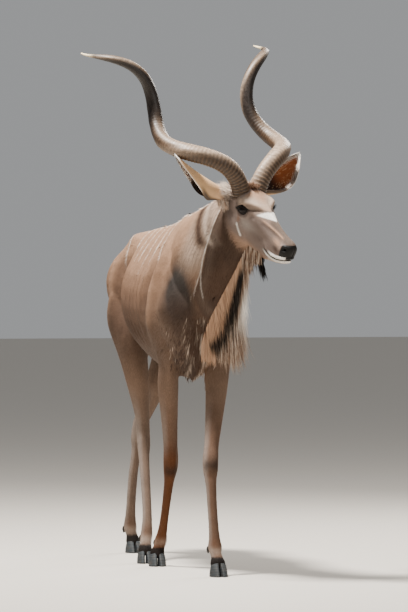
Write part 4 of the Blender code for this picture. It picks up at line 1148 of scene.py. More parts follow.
def addNode(tree, kind, settings=None, links=None):  # one node, its settings and what feeds it
    node = tree.nodes.new(kind)
    for key, value in (settings or {}).items():
        if hasattr(node, key) and key not in node.inputs:
            setattr(node, key, value)
        else:
            node.inputs[key].default_value = value
    for socket, source in (links or {}).items():
        tree.links.new(source, node.inputs[socket])
    return node


def newMaterial(name, settings):
    material = bpy.data.materials.new(name)
    material.use_nodes = True
    shader = material.node_tree.nodes["Principled BSDF"]
    for key, value in settings.items():
        shader.inputs[key].default_value = value
    return material, material.node_tree, shader


def coatMaterial(name, settings, noiseScale, bumpHeight, contrast=0.13):
    # Keratin hair: matt with a faint sheen, its tone from the markings, broken up by clumps a few mm across
    material, tree, shader = newMaterial(name, settings)
    marks = addNode(tree, "ShaderNodeVertexColor", {"layer_name": "coatColour"})
    where = addNode(tree, "ShaderNodeTexCoord")
    fine = addNode(tree, "ShaderNodeTexNoise", {"Scale": noiseScale, "Detail": 3.0},
                   {"Vector": where.outputs["Object"]})
    broad = addNode(tree, "ShaderNodeTexNoise", {"Scale": 22.0, "Detail": 4.0},
                    {"Vector": where.outputs["Object"]})
    both = addNode(tree, "ShaderNodeMath", {"operation": "ADD"},
                   {0: fine.outputs["Fac"], 1: broad.outputs["Fac"]})
    level = addNode(tree, "ShaderNodeMapRange",
                    {"From Min": 0.6, "From Max": 1.4, "To Min": 1 - contrast, "To Max": 1 + contrast},
                    {"Value": both.outputs[0]})
    mixed = addNode(tree, "ShaderNodeMix", {"data_type": "RGBA", "blend_type": "MULTIPLY", "Factor": 1.0})
    tree.links.new(marks.outputs["Color"], mixed.inputs[6])
    tree.links.new(level.outputs[0], mixed.inputs[7])
    tree.links.new(mixed.outputs[2], shader.inputs["Base Color"])
    if bumpHeight:
        stretch = addNode(tree, "ShaderNodeMapping", {"Scale": (1.0, 0.45, 0.35)},
                          {"Vector": where.outputs["Object"]})
        hair = addNode(tree, "ShaderNodeTexNoise", {"Scale": 620.0, "Detail": 2.0},
                       {"Vector": stretch.outputs[0]})
        lumps = addNode(tree, "ShaderNodeBump", {"Strength": 0.55, "Distance": bumpHeight},
                        {"Height": hair.outputs["Fac"]})
        tree.links.new(lumps.outputs[0], shader.inputs["Normal"])
    return material


hideMaterial = coatMaterial("shortKuduHide", {"Roughness": 0.90, "Specular IOR Level": 0.15}, 260.0, 0.0012)
hairMaterial = coatMaterial("kuduHair", {"Roughness": 0.70, "Specular IOR Level": 0.18}, 420.0, 0.0)
maneMaterial = coatMaterial("longManeHair", {"Roughness": 0.60, "Specular IOR Level": 0.12}, 300.0, 0.0, 0.12)


def finishCoat(obj, material=None):
    obj.data.materials.append(material or (maneMaterial if "mane" in obj.name.lower() else hairMaterial))
    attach(obj, "root")
    return obj


# Skin's own finish
skinShade = 0.82  # the skin is darker than the coat over it
colourPoints(skin.data, bodyColour(skinPoints, skinNormals) * skinShade)


def noseMaterial():
    # Bare nose skin: black and moist, pebbled every millimetre and a half
    material, tree, shader = newMaterial(
        "moistNoseSkin", {"Base Color": (*linear("#0D0B0A"), 1), "Roughness": 0.50,
                          "Specular IOR Level": 0.16}
    )
    where = addNode(tree, "ShaderNodeTexCoord")
    cells = addNode(tree, "ShaderNodeTexVoronoi", {"Scale": 650.0}, {"Vector": where.outputs["Object"]})
    lumps = addNode(tree, "ShaderNodeBump", {"Strength": 0.5, "Distance": 0.0006},
                    {"Height": cells.outputs["Distance"]})
    tree.links.new(lumps.outputs[0], shader.inputs["Normal"])
    return material


def finishSkin():
    skin.data.materials.clear()
    skin.data.materials.append(hideMaterial)
    skin.data.materials.append(noseMaterial())
    middles = np.zeros(len(skin.data.polygons) * 3)
    skin.data.polygons.foreach_get("center", middles)
    along, _, outward = headCoords(middles.reshape(-1, 3))
    bare = padOf(along, outward) > 0.5
    bare |= (along > 0.230) & (np.abs(outward - mouthLine(along)) < 0.0022)
    skin.data.polygons.foreach_set("material_index", bare.astype(np.int32))
    skin.data.polygons.foreach_set("use_smooth", np.ones(len(skin.data.polygons), bool))
    skin.data.update()
    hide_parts("torso", "neck", "head", "tail",
                *(f"{leg}_{part}" for leg in legRows for part in ("upper", "lower")))
    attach(skin, "root")


finishSkin()

# Short coat over the whole body
coatSet = {
    "trunk": 122000,
    "neck": 40000,
    "legs": 46000,
    "head": 42000,
    "most": 48000,  # tufts in one piece
}
share = 1.0


def coatRegion(name, count, weigh, lengths, widths, lifts, seed):
    rng = np.random.default_rng(seed)
    count = int(count * share)
    roots, normals = scattered(rng, count, weigh)
    keep = clearOfFeatures(roots)
    roots, normals = roots[keep], normals[keep]
    order = np.argsort(roots[:, 1])
    roots, normals = roots[order], normals[order]
    lies = lieOf(roots, normals)
    colours = bodyColour(roots, normals)
    colours = colours * rng.uniform(0.90, 1.10, len(roots))[:, None]
    pieces = max(1, math.ceil(len(roots) / coatSet["most"]))
    for i, chosen in enumerate(np.array_split(np.arange(len(roots)), pieces)):
        size = len(chosen)
        tufts(
            f"{name}{i + 1}",
            roots[chosen],
            normals[chosen],
            lies[chosen],
            rng.uniform(*lengths, size),
            rng.uniform(*widths, size),
            np.radians(rng.uniform(*lifts, size)),
            colours[chosen],
            rng,
        )


def clearOfFeatures(points):  # no hair on the nose, in the mouth, or over the eyes
    along, side, outward = headCoords(points)
    bare = padOf(along, outward) > 0.3
    bare |= (along > 0.230) & (along < 0.37) & (np.abs(outward - mouthLine(along)) < 0.0030)
    bare |= (eyeGap(along, outward) < 0.0150) & (np.abs(side) > 0.03)
    inHoof = points[:, 2] < 0.040
    return ~(bare & (along > -0.1)) & ~inHoof


def weighTrunk(points):
    head, neck, leg = partOf(points)
    return np.clip(1 - head - neck - leg, 0, 1)


coatRegion("coatTrunk", coatSet["trunk"], weighTrunk, (0.010, 0.017), (0.0016, 0.0027), (2, 7), 11)
coatRegion("coatNeck", coatSet["neck"], lambda p: partOf(p)[1], (0.012, 0.022), (0.0014, 0.0024), (3, 8), 12)
coatRegion("coatLegs", coatSet["legs"], lambda p: partOf(p)[2], (0.006, 0.010), (0.0012, 0.0019), (3, 8), 13)
coatRegion("coatHead", coatSet["head"], lambda p: partOf(p)[0] * (1 + 0.8 * soft(headCoords(p)[0], 0.1, 0.2)),
           (0.0045, 0.0080), (0.0009, 0.0014), (4, 10), 14)
print("short coat")


def nearest(points):
    spots, directions = [], []
    for point in points:
        spot, normal, _, _ = skinTree.find_nearest(Vector(point))
        spots.append(spot)
        directions.append(normal)
    return np.array(spots), np.array(directions)


def varied(rng, tones, low, high):
    return np.clip(tones * rng.uniform(low, high, len(tones))[:, None], 0, 1)


# Fringe of the throat: forward, side, height on the throat line; lock length; lean forward, to the left;
# spread
fringeRows = (
    (0.985, 0.150, 1.262, 0.045, 0.06, -0.05, 0.012),
    (0.930, 0.128, 1.290, 0.080, 0.18, 0.00, 0.016),
    (0.895, 0.108, 1.235, 0.140, 0.22, 0.02, 0.018),
    (0.850, 0.092, 1.180, 0.210, 0.26, 0.09, 0.020),
    (0.805, 0.075, 1.125, 0.290, 0.30, 0.15, 0.022),
    (0.760, 0.058, 1.075, 0.280, 0.34, 0.19, 0.024),
    (0.705, 0.040, 1.015, 0.200, 0.30, 0.19, 0.026),
    (0.660, 0.026, 0.955, 0.132, 0.20, 0.12, 0.030),
    (0.625, 0.018, 0.905, 0.078, 0.08, 0.06, 0.034),
)
fringeSet = {"locks": 5600, "width": (0.0020, 0.0040), "sink": 0.003, "toLeft": 0.30}


def throatFringe():
    rng = np.random.default_rng(21)
    count = int(fringeSet["locks"] * max(share, 0.5))
    rows = eased(fringeRows, 400)
    picked = np.sort(rng.integers(0, 400, count))
    forward, side, height, length, lean, aside, spread = rows[picked].T
    off = rng.normal(fringeSet["toLeft"], 0.50, count).clip(-0.45, 1.4) * spread
    roots, normals = nearest(guideAt(forward + rng.normal(0, 0.006, count), side + off, height))
    roots = roots - normals * fringeSet["sink"]
    aims = np.stack(
        (aside * 0.8 + off * 1.6 + rng.normal(0, 0.035, count), -(lean + rng.normal(0, 0.035, count)),
         np.full(count, -1.0)),
        axis=1,
    )
    wave = 0.05 * np.sin(picked * 0.35)
    bends = np.stack((wave + rng.normal(0, 0.03, count), 0.10 + rng.normal(0, 0.04, count),
                      np.full(count, -0.05)), axis=1)
    lengths = length * rng.beta(4, 1.6, count) * 1.12
    shade = rng.uniform(0.84, 1.12, count)
    pick = rng.random(count)

    def paint(points, lock):
        return fringeColour(points, pick[lock]) * shade[lock][:, None]

    plain = np.tile(tone["fawn"], (count, 1))
    locks("maneThroat", roots, normals, aims, lengths, rng.uniform(*fringeSet["width"], count), bends, plain,
          plain,
          plain, steps=5, paint=paint)


# Black band down the fringe: height, how far across it lies, half width
fringeBand = (
    (0.868, 0.092, 0.016),
    (0.900, 0.097, 0.032),
    (0.925, 0.112, 0.028),
    (0.966, 0.140, 0.020),
    (1.025, 0.157, 0.020),
    (1.108, 0.175, 0.015),
    (1.185, 0.191, 0.009),
)


def fringeColour(points, pick):
    forward, side, height = bodyCoords(points)
    over = 0.978 * (side - 0.0975) + 0.208 * forward
    levels, middles, halves = zip(*fringeBand)
    gap = over - np.interp(height, levels, middles)
    half = np.interp(height, levels, halves)
    streak = (0.5 + 0.20 * np.sin(310 * over + 5 * np.sin(17 * height))
              + 0.20 * np.sin(710 * over + 31 * height))
    streak += 0.75 * (pick - 0.5)
    before = np.tile(tone["tan"], (len(points), 1))
    before = painted(before, "orange", 0.30 * soft(streak, 0.55, 0.9))
    before = painted(before, "umber", 0.5 * (1 - soft(streak, -0.05, 0.25)))
    beyond = np.tile(tone["fawn"], (len(points), 1))
    beyond = painted(beyond, "pale", 0.9 * soft(streak, 0.45, 0.75))
    beyond = painted(beyond, "umber", 0.85 * (1 - soft(streak, 0.10, 0.35)))
    # Painted highlight: white on the strands just beyond the black band, around the middle of its height
    paintedHighlight = soft(gap, half + 0.004, half + 0.018) * bump(height, 1.035, 0.065)
    beyond = painted(beyond, "white", paintedHighlight)
    after = soft(gap, -0.004, 0.004)[:, None]
    colour = before * (1 - after) + beyond * after
    black = ((1 - soft(np.abs(gap) / half, 0.85, 1.15)) * soft(height, 0.848, 0.880)
             * (1 - soft(height, 1.180, 1.205)))
    return painted(colour, "black", black * (0.97 - 0.25 * (pick > 0.94)))


# Hair of the brisket: it lies along the chest and ends in soft points between the forelegs
chestSet = {"locks": 1500, "length": (0.026, 0.062), "width": (0.0022, 0.0042), "lift": 0.16}


def chestHair():
    rng = np.random.default_rng(27)
    count = int(chestSet["locks"] * max(share, 0.5))

    def weigh(points):
        forward, side, height = bodyCoords(points)
        inside = soft(forward, 0.36, 0.46) * (1 - soft(height, 0.96, 1.03)) * (height > 0.755)
        return inside * bump(side, torsoSide + 0.012, 0.075) + 1e-9

    roots, normals = scattered(rng, count, weigh)
    forward, side, height = bodyCoords(roots)
    lies = lieOf(roots, normals)
    aims = (lies * 0.8 + np.array((0.0, 0.12, -0.75)) + normals * chestSet["lift"]
            + rng.normal(0, 0.09, (count, 3)))
    streak = (0.5 * np.sin(120 * side + 2.5 * np.sin(21 * height)) + 0.4 * np.sin(290 * side)
              + 0.9 * (rng.random(count) - 0.5))
    colour = np.tile(tone["umber"], (count, 1))
    toLeft = soft(side, 0.0, 0.06)
    colour = painted(colour, "fawn", toLeft * 0.8)
    colour = painted(colour, "grey", soft(streak, 0.0, 0.5) * 0.8 * (1 - toLeft))
    colour = painted(colour, "pale", soft(streak, 0.45 - 0.5 * toLeft, 1.0 - 0.4 * toLeft) * 0.65)
    low = soft(height, 0.80, 0.90)[:, None]
    colour = colour * (0.75 + 0.25 * low)
    lengths = rng.uniform(*chestSet["length"], count) * (0.6 + 0.4 * bump(side, torsoSide, 0.06))
    locks("maneChest", roots - normals * 0.002, normals, aims, lengths,
          rng.uniform(*chestSet["width"], count),
          -normals * 0.10, varied(rng, colour, 0.7, 0.9), varied(rng, colour, 0.9, 1.1),
          varied(rng, colour, 1.0, 1.3),
          steps=4)


chinSet = {"locks": 260, "length": (0.045, 0.108), "width": (0.0016, 0.0028), "root": (0.192, -0.185),
           "spread": 0.008}


def chinTuft():
    rng = np.random.default_rng(22)
    count = chinSet["locks"]
    rootAlong, rootOut = chinSet["root"]
    aways = zip(rng.normal(0, chinSet["spread"], count), rng.normal(0, chinSet["spread"], count))
    guide = np.array([onHead(rootAlong + along, side, rootOut) for along, side in aways])
    roots, normals = nearest(guide)
    aims = np.stack((0.10 + rng.normal(0, 0.05, count), -0.16 + rng.normal(0, 0.05, count),
                     np.full(count, -1.0)), axis=1)
    bends = np.stack((0.05 + rng.normal(0, 0.03, count), rng.normal(0, 0.04, count), np.zeros(count)), axis=1)
    dark = np.tile(tone["black"], (count, 1))
    locks("maneChin", roots - normals * 0.003, normals, aims, rng.uniform(*chinSet["length"], count),
          rng.uniform(*chinSet["width"], count), bends, varied(rng, dark, 0.8, 2.2), dark,
          varied(rng, dark, 1.0, 3.0),
          steps=5)


# Crest of the neck and back: forward, side, height; hair length; lean back
crestRows = (
    (0.905, 0.120, 1.512, 0.022, 1.20),
    (0.780, 0.086, 1.496, 0.024, 1.80),
    (0.640, 0.048, 1.460, 0.026, 2.20),
    (0.500, 0.026, 1.425, 0.028, 2.20),
    (0.390, 0.014, 1.412, 0.026, 2.30),
    (0.300, 0.012, 1.402, 0.026, 2.40),
    (0.100, 0.012, 1.374, 0.024, 2.60),
    (-0.150, 0.012, 1.358, 0.020, 3.20),
    (-0.400, 0.012, 1.342, 0.018, 3.20),
)
crestSet = {"locks": 3200, "width": (0.0018, 0.0034)}


def crest():
    rng = np.random.default_rng(23)
    count = int(crestSet["locks"] * max(share, 0.5))
    picked = np.sort(rng.integers(0, 300, count))
    forward, side, height, length, lean = eased(crestRows, 300)[picked].T
    off = rng.normal(0, 0.0085, count)
    roots, normals = nearest(guideAt(forward, side + off, height + 0.01))
    aims = np.stack((off * 16 + rng.normal(0, 0.10, count), lean + rng.normal(0, 0.12, count),
                     np.ones(count)), axis=1)
    bends = np.stack((off * 8, 0.30 + rng.normal(0, 0.08, count), np.full(count, -0.30)), axis=1)
    kind = rng.random(count)
    base = either(kind < 0.6, tone["pale"], either(kind < 0.72, tone["fawn"], tone["sand"]))
    tips = either(kind < 0.35, tone["white"] * 0.85, tone["sand"])
    locks("maneCrest", roots - normals * 0.002, normals, aims, length * rng.uniform(0.6, 1.1, count),
          rng.uniform(*crestSet["width"], count), bends, varied(rng, base, 0.6, 1.0),
          varied(rng, base, 0.8, 1.1), tips,
          steps=4)


# Long hair along the line of the neck, hanging toward the shoulder; white and pale, a painted highlight along
# that line
neckHairSet = {"locks": 70, "length": (0.030, 0.070), "width": (0.0007, 0.0012)}


def neckHair():
    rng = np.random.default_rng(24)
    count = int(neckHairSet["locks"] * max(share, 0.5))
    rows = eased(neckLine, 200)
    picked = rng.integers(0, 200, count)
    forward, height = rows[picked].T
    sign = np.where(rng.random(count) < 0.5, 1, -1)
    middle = np.interp(forward, (0.58, 0.69, 0.80, 0.90), (0.040, 0.068, 0.092, 0.118))
    behind = np.abs(rng.normal(0, 0.007, count))
    roots, normals = nearest(guideAt(forward - behind, middle + sign * 0.12, height))
    run = np.array((0.0, 0.30, -1.0))
    aims = np.tile(run, (count, 1)) + rng.normal(0, 0.07, (count, 3)) + normals * 0.05
    bends = -normals * 0.05 + rng.normal(0, 0.04, (count, 3))
    grow = soft(picked / 199, 0.0, 0.6)
    lengths = rng.uniform(*neckHairSet["length"], count) * (0.45 + 0.55 * grow)
    # White and pale: painted highlight
    pale = either(rng.random(count) < 0.7, tone["white"], tone["pale"])
    locks("maneNeck", roots - normals * 0.002, normals, aims, lengths,
          rng.uniform(*neckHairSet["width"], count), bends,
          varied(rng, pale * 0.8, 0.7, 1.0), pale, pale, steps=5)


tailSet = {"locks": 1500, "length": (0.035, 0.085), "width": (0.0018, 0.0030)}


def tailTuft():
    rng = np.random.default_rng(25)
    count = int(tailSet["locks"] * max(share, 0.5))
    rows = eased(tailRows, 100)
    picked = rng.integers(30, 97, count)
    forward, side, height = rows[picked][:, :3].T
    turn = rng.uniform(0, 2 * math.pi, count)
    around = np.stack((np.sin(turn), np.cos(turn), np.zeros(count)), axis=1)
    roots, normals = nearest(guideAt(forward, side, height) + around * 0.03)
    aims = np.array((0.0, 0.0, -1.0)) + around * 0.14 + rng.normal(0, 0.05, (count, 3))
    bends = -around * 0.06
    low = soft(picked / 99, 0.75, 0.95)
    base = either(around[:, 1] > 0, tone["fawn"], tone["white"] * 0.85)
    tips = base * (1 - low[:, None]) + tone["black"] * low[:, None]
    locks("maneTail", roots - normals * 0.002, normals, aims,
          rng.uniform(*tailSet["length"], count) * (0.7 + 0.5 * low),
          rng.uniform(*tailSet["width"], count), bends, varied(rng, base, 0.7, 1.0),
          varied(rng, base, 0.8, 1.1), tips,
          steps=4)


browSet = {"locks": 1900, "tuft": 0.16, "tuftLength": (0.014, 0.028), "earLength": (0.026, 0.056),
           "width": (0.0012, 0.0022)}


def forelock():  # the tuft between the horns and the pale fluff before the ears
    rng = np.random.default_rng(26)
    count = browSet["locks"]
    middle = rng.random(count) < browSet["tuft"]
    sign = np.where(rng.random(count) < 0.5, 1, -1)
    along = np.where(middle, rng.normal(0.010, 0.014, count), rng.normal(-0.038, 0.017, count))
    side = np.where(middle, rng.normal(0, 0.010, count), sign * (0.075 + rng.normal(0, 0.012, count)))
    outward = np.where(middle, 0.03, rng.normal(-0.046, 0.020, count))
    guide = np.array([onHead(a, s, o) for a, s, o in zip(along, side, outward)])
    roots, normals = nearest(guide)
    spread = rng.normal(0, 0.20, (count, 3))
    toEar = np.array(left)[None] * sign[:, None] * 0.9 + np.array(crown) * 0.5 - np.array(ahead) * 0.3
    aims = either(middle, np.array(out) * 0.9 + np.array(nose) * 0.25, normals * 0.2 + toEar) + spread
    base = either(middle, tone["tawny"], either(rng.random(count) < 0.5, tone["pale"], tone["cheek"]))
    tips = either(middle, tone["sand"], tone["pale"] * 1.2)
    lengths = np.where(middle, rng.uniform(*browSet["tuftLength"], count),
                       rng.uniform(*browSet["earLength"], count))
    locks("maneBrow", roots - normals * 0.001, normals, aims, lengths, rng.uniform(*browSet["width"], count),
          spread * 0.2,
          varied(rng, base, 0.5, 0.9), varied(rng, base, 0.8, 1.1), varied(rng, tips, 0.8, 1.1),
          steps=3)


throatFringe()
chestHair()
chinTuft()
crest()
neckHair()
tailTuft()
forelock()
print("long hair")

# Horns: an open spiral with a keel, ridged toward the base
hornSet = {
    "spread": 0.093,
    "chord": 0.800,
    "rise": 51.8,
    "splay": 18.8,
    "turns": 1.6,
    "phase": 88.0,
    "coil": (0.068, 0.026, 0.073),
    "bow": 0.051,
    "thick": (0.034, 0.033, 0.030, 0.027, 0.023, 0.016, 0.0025),
    "keel": 0.16,
    "rings": 440,
    "sides": 32,
    "ridges": 78,
    "ridgeHeight": 0.0024,
}


def hornPoint(t, sign):
    rise, splay = math.radians(hornSet["rise"]), math.radians(hornSet["splay"])
    axis = Vector((-math.cos(rise) * math.cos(splay), math.sin(splay), math.sin(rise) * math.cos(splay)))
    first = axis.cross(Vector((0, 1, 0))).normalized()
    second = axis.cross(first)

    def coil(u):
        base, pull, tip = hornSet["coil"]
        radius = base * (1 - u) ** 2 + 2 * pull * u * (1 - u) + tip * u * u
        angle = math.radians(hornSet["phase"]) + 2 * math.pi * hornSet["turns"] * u
        return (first * math.cos(angle) + second * math.sin(angle)) * radius

    radial = coil(t)
    point = axis * (hornSet["chord"] * t) + radial - coil(0)
    point.y += hornSet["bow"] * t * (1 - t) + hornSet["spread"] / 2
    turned = [ahead * v.x + left * (v.y * sign) + crown * v.z for v in (point, radial)]
    return headAt + turned[0], turned[1]


def buildHorn(name, sign):
    bm = bmesh.new()
    thick = eased([(v,) for v in hornSet["thick"]], 61)[:, 0]
    rings, tints = [], []
    ivory, dark, brown, greyHorn = (np.array(linear(h)) for h in ("#E2CFA8", "#1B120C", "#38240F", "#BAA28C"))
    for i in range(hornSet["rings"]):
        t = -0.035 + 1.035 * (i / (hornSet["rings"] - 1)) ** 1.45  # rings lie closer where it is ridged
        here, radial = hornPoint(t, sign)
        run = (hornPoint(t + 0.004, sign)[0] - hornPoint(t - 0.004, sign)[0]).normalized()
        outward = (radial - run * radial.dot(run)).normalized()
        across = run.cross(outward)
        radius = float(np.interp(max(t, 0), np.linspace(0, 1, 61), thick))
        fade = max(0.0, 1 - max(t, 0) / 0.62)
        wave = 0.5 + 0.5 * math.sin(2 * math.pi * hornSet["ridges"] * t * (1 - 0.12 * t))
        ring = []
        for k in range(hornSet["sides"]):
            angle = 2 * math.pi * k / hornSet["sides"]
            keel = 1 + hornSet["keel"] * max(0.0, math.cos(angle)) ** 6 - 0.05 * math.cos(2 * angle)
            face = 0.35 + 0.65 * max(0.0, math.cos(angle - 2.2)) ** 0.8
            lump = hornSet["ridgeHeight"] * fade * face * (wave**2 - 0.4)
            groove = 0.00035 * math.sin(angle * 9 + 2.5 * math.sin(t * 17))
            reach = radius * keel + lump + groove * min(1.0, radius / 0.02)
            ring.append(here + (outward * math.cos(angle) + across * math.sin(angle) * sign) * reach)
            upward = (outward * math.cos(angle) + across * math.sin(angle) * sign).z
            lit = float(soft(np.array(upward), 0.0, 0.85))
            # Pale where worn on the ridges and where painted light falls on the upward side, with painted
            # shade in the grooves; dark above, less so under painted light
            tint = brown * (1.15 - (1 - wave) * 0.55 * fade)
            wornAndLit = (0.12 + 0.88 * lit) * (0.08 + 0.75 * fade * face * wave**1.5)
            wornAndLit = min(0.95, wornAndLit + 0.42 * lit * (0.35 + 0.65 * fade))
            tint = tint * (1 - wornAndLit) + greyHorn * wornAndLit
            deep = float(soft(np.array(t), 0.30, 0.55)) * (1 - 0.55 * lit)
            tint = tint * (1 - deep) + dark * deep
            tipShare = float(soft(np.array(t), 0.925, 0.972))
            tint = tint * (1 - tipShare) + ivory * tipShare
            # The keel painted pale: a painted highlight along its edge
            ridge = max(0.0, math.cos(angle)) ** 8 * 0.35 * (1 - tipShare)
            tint = tint * (1 - ridge) + greyHorn * ridge
            tints.append(tint)
        rings.append(ring)
    loft(bm, rings)
    bmesh.ops.recalc_face_normals(bm, faces=bm.faces)
    obj = newObject(name, meshFrom(bm, name))
    colourPoints(obj.data, np.array(tints))
    return finished(obj, hornMaterial)


def makeHornMaterial():
    # Keratin sheath: worn to a soft gloss, streaked along its growth, its roughness varied with the streaks
    material, tree, shader = newMaterial("wornHornKeratin", {"Specular IOR Level": 0.34, "IOR": 1.54})
    marks = addNode(tree, "ShaderNodeVertexColor", {"layer_name": "coatColour"})
    where = addNode(tree, "ShaderNodeTexCoord")
    streaks = addNode(tree, "ShaderNodeTexNoise", {"Scale": 90.0, "Detail": 5.0, "Distortion": 0.6},
                      {"Vector": where.outputs["Object"]})
    level = addNode(tree, "ShaderNodeMapRange",
                    {"From Min": 0.3, "From Max": 0.7, "To Min": 0.72, "To Max": 1.28},
                    {"Value": streaks.outputs["Fac"]})
    mixed = addNode(tree, "ShaderNodeMix", {"data_type": "RGBA", "blend_type": "MULTIPLY", "Factor": 1.0})
    tree.links.new(marks.outputs["Color"], mixed.inputs[6])
    tree.links.new(level.outputs[0], mixed.inputs[7])
    tree.links.new(mixed.outputs[2], shader.inputs["Base Color"])
    gloss = addNode(tree, "ShaderNodeMapRange",
                    {"From Min": 0.3, "From Max": 0.7, "To Min": 0.38, "To Max": 0.60},
                    {"Value": streaks.outputs["Fac"]})
    tree.links.new(gloss.outputs[0], shader.inputs["Roughness"])
    grain = addNode(tree, "ShaderNodeTexNoise", {"Scale": 420.0, "Detail": 3.0},
                    {"Vector": where.outputs["Object"]})
    lumps = addNode(tree, "ShaderNodeBump", {"Strength": 0.35, "Distance": 0.0006},
                    {"Height": grain.outputs["Fac"]})
    tree.links.new(lumps.outputs[0], shader.inputs["Normal"])
    return material


hornMaterial = makeHornMaterial()
for sideName, sign in (("left", 1), ("right", -1)):
    horn = buildHorn("hornSheath_" + sideName, sign)
    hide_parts("horn_" + sideName)
    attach(horn, "root")
print("horns")

def eyeAxes(sign):  # where an eye looks, the length of its slit and the way up
    look = (left * sign + nose * 0.30 + out * 0.16).normalized()
    tilt = math.radians(lidSet["tilt"])
    long = nose * math.cos(tilt) + out * math.sin(tilt)
    long = (long - look * long.dot(look)).normalized()
    high = look.cross(long).normalized()
    if high.dot(out) < 0:
        high = -high
    return look, long, high


def buildEye(name, sign):
    look, long, high = eyeAxes(sign)
    centre = onHead(eyeSet["along"], eyeSet["side"] * sign, eyeSet["out"])
    bm = bmesh.new()
    bmesh.ops.create_uvsphere(bm, u_segments=48, v_segments=32, radius=eyeSet["ball"])
    turn = Matrix((long, high, look)).transposed().to_4x4()
    bmesh.ops.transform(bm, matrix=Matrix.Translation(centre) @ turn, verts=bm.verts)
    for vert in bm.verts:
        away = vert.co - centre
        front = away.normalized().dot(look)
        if front > 0.80:
            vert.co += look * 0.0014 * ((front - 0.80) / 0.20)  # the cornea stands a little proud
    bmesh.ops.recalc_face_normals(bm, faces=bm.faces)
    pupil, iris, rim = (np.array(linear(h)) for h in ("#050303", "#170C08", "#0A0605"))
    tints = []
    for vert in bm.verts:
        away = vert.co - centre
        x, y = away.dot(long) / eyeSet["ball"], away.dot(high) / eyeSet["ball"]
        radius = math.hypot(x, y)
        streak = 0.8 + 0.4 * math.sin(math.atan2(y, x) * 31)
        tint = iris * streak if radius < 0.62 else rim
        if math.hypot(x / 0.40, y / 0.20) < 1 or away.dot(look) < 0:
            tint = pupil
        tints.append(tint)
    obj = newObject(name, meshFrom(bm, name))
    colourPoints(obj.data, np.array(tints))
    return finished(obj, eyeMaterial)


def makeEyeMaterial():
    # Wet cornea over a dark iris
    material, tree, shader = newMaterial(
        "wetDarkEye", {"Roughness": 0.07, "IOR": 1.38, "Specular IOR Level": 0.22, "Coat Weight": 0.05,
                       "Coat Roughness": 0.03}
    )
    marks = addNode(tree, "ShaderNodeVertexColor", {"layer_name": "coatColour"})
    tree.links.new(marks.outputs["Color"], shader.inputs["Base Color"])
    return material


def buildLids(name, sign):
    look, long, high = eyeAxes(sign)
    centre = onHead(eyeSet["along"], eyeSet["side"] * sign, eyeSet["out"])
    ball = eyeSet["ball"]
    profile = ((0.0, 0.0004), (0.0006, 0.0018), (0.0022, 0.0026), (0.0046, 0.0020),
               (lidSet["skirt"], -0.0045))
    rings = []
    for away, rise in profile:
        ring = []
        for i in range(56):
            angle = 2 * math.pi * i / 56
            across, up = math.cos(angle), math.sin(angle)
            wide = (lidSet["halfLong"] + away) * across
            tall = (lidSet["halfHigh"] + away) * up * (1 - 0.22 * across * across)
            tall += 0.0022 * (1 if up > 0 else 0.4) * (1 - across * across) - 0.0010 * across
            spot = long * (wide + (0.004 * across if across > 0.75 else 0)) + high * (tall - lidSet["droop"])
            reach = ball + rise
            flatPart = spot.length
            depth = math.sqrt(max(0.0, reach * reach - min(flatPart, reach * 0.94) ** 2))
            ring.append(centre + spot + look * depth)
        rings.append(ring)
    bm = bmesh.new()
    previous = None
    for ring in rings:
        verts = bmesh.ops.create_circle(bm, segments=56, radius=1)["verts"]
        for vert, point in zip(verts, ring):
            vert.co = point
        edges = list({edge for vert in verts for edge in vert.link_edges})
        if previous:
            bmesh.ops.bridge_loops(bm, edges=previous + edges)
        previous = edges
    bmesh.ops.recalc_face_normals(bm, faces=bm.faces)
    bmesh.ops.solidify(bm, geom=bm.faces, thickness=0.0006)
    bmesh.ops.recalc_face_normals(bm, faces=bm.faces)
    return finished(newObject(name, meshFrom(bm, name)), lidMaterial)


def makeLidMaterial():
    # Bare lid skin: near black, finely creased
    material, tree, shader = newMaterial(
        "bareLidSkin", {"Base Color": (*linear("#0C0807"), 1), "Roughness": 0.55, "Specular IOR Level": 0.15}
    )
    where = addNode(tree, "ShaderNodeTexCoord")
    creases = addNode(tree, "ShaderNodeTexNoise", {"Scale": 700.0, "Detail": 3.0},
                      {"Vector": where.outputs["Object"]})
    lumps = addNode(tree, "ShaderNodeBump", {"Strength": 0.4, "Distance": 0.0004},
                    {"Height": creases.outputs["Fac"]})
    tree.links.new(lumps.outputs[0], shader.inputs["Normal"])
    return material


eyeMaterial = makeEyeMaterial()
lidMaterial = makeLidMaterial()
for sideName, sign in (("left", 1), ("right", -1)):
    eye = buildEye("eyeball_" + sideName, sign)
    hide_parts("eye_" + sideName)
    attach(eye, "root")
    lids = buildLids("lids_" + sideName, sign)
    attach(lids, "root")


def lashes():
    rng = np.random.default_rng(31)
    roots, normals, aims = [], [], []
    for sign in (1, -1):
        look, long, high = eyeAxes(sign)
        centre = onHead(eyeSet["along"], eyeSet["side"] * sign, eyeSet["out"])
        for angle in np.linspace(0.35, math.pi - 0.25, 42):
            across, up = math.cos(angle), math.sin(angle)
            spot = long * (lidSet["halfLong"] * across) + high * ((lidSet["halfHigh"] + 0.002) * up)
            roots.append(centre + spot
                         + look * math.sqrt(max(0, (eyeSet["ball"] + 0.0016) ** 2 - spot.length_squared)))
            normals.append(look)
            aims.append(look * 0.9 + high * (0.25 * up + 0.1) + long * (0.5 * across)
                        + Vector(rng.normal(0, 0.08, 3)))
    roots, normals, aims = (np.array([v[:] for v in group]) for group in (roots, normals, aims))
    count = len(roots)
    dark = np.tile(tone["black"], (count, 1))
    locks("maneLashes", roots, normals, aims, rng.uniform(0.008, 0.013, count), np.full(count, 0.0006),
          np.tile(np.array(out) * -0.25, (count, 1)), dark, dark, dark, steps=3)


lashes()
print("eyes")

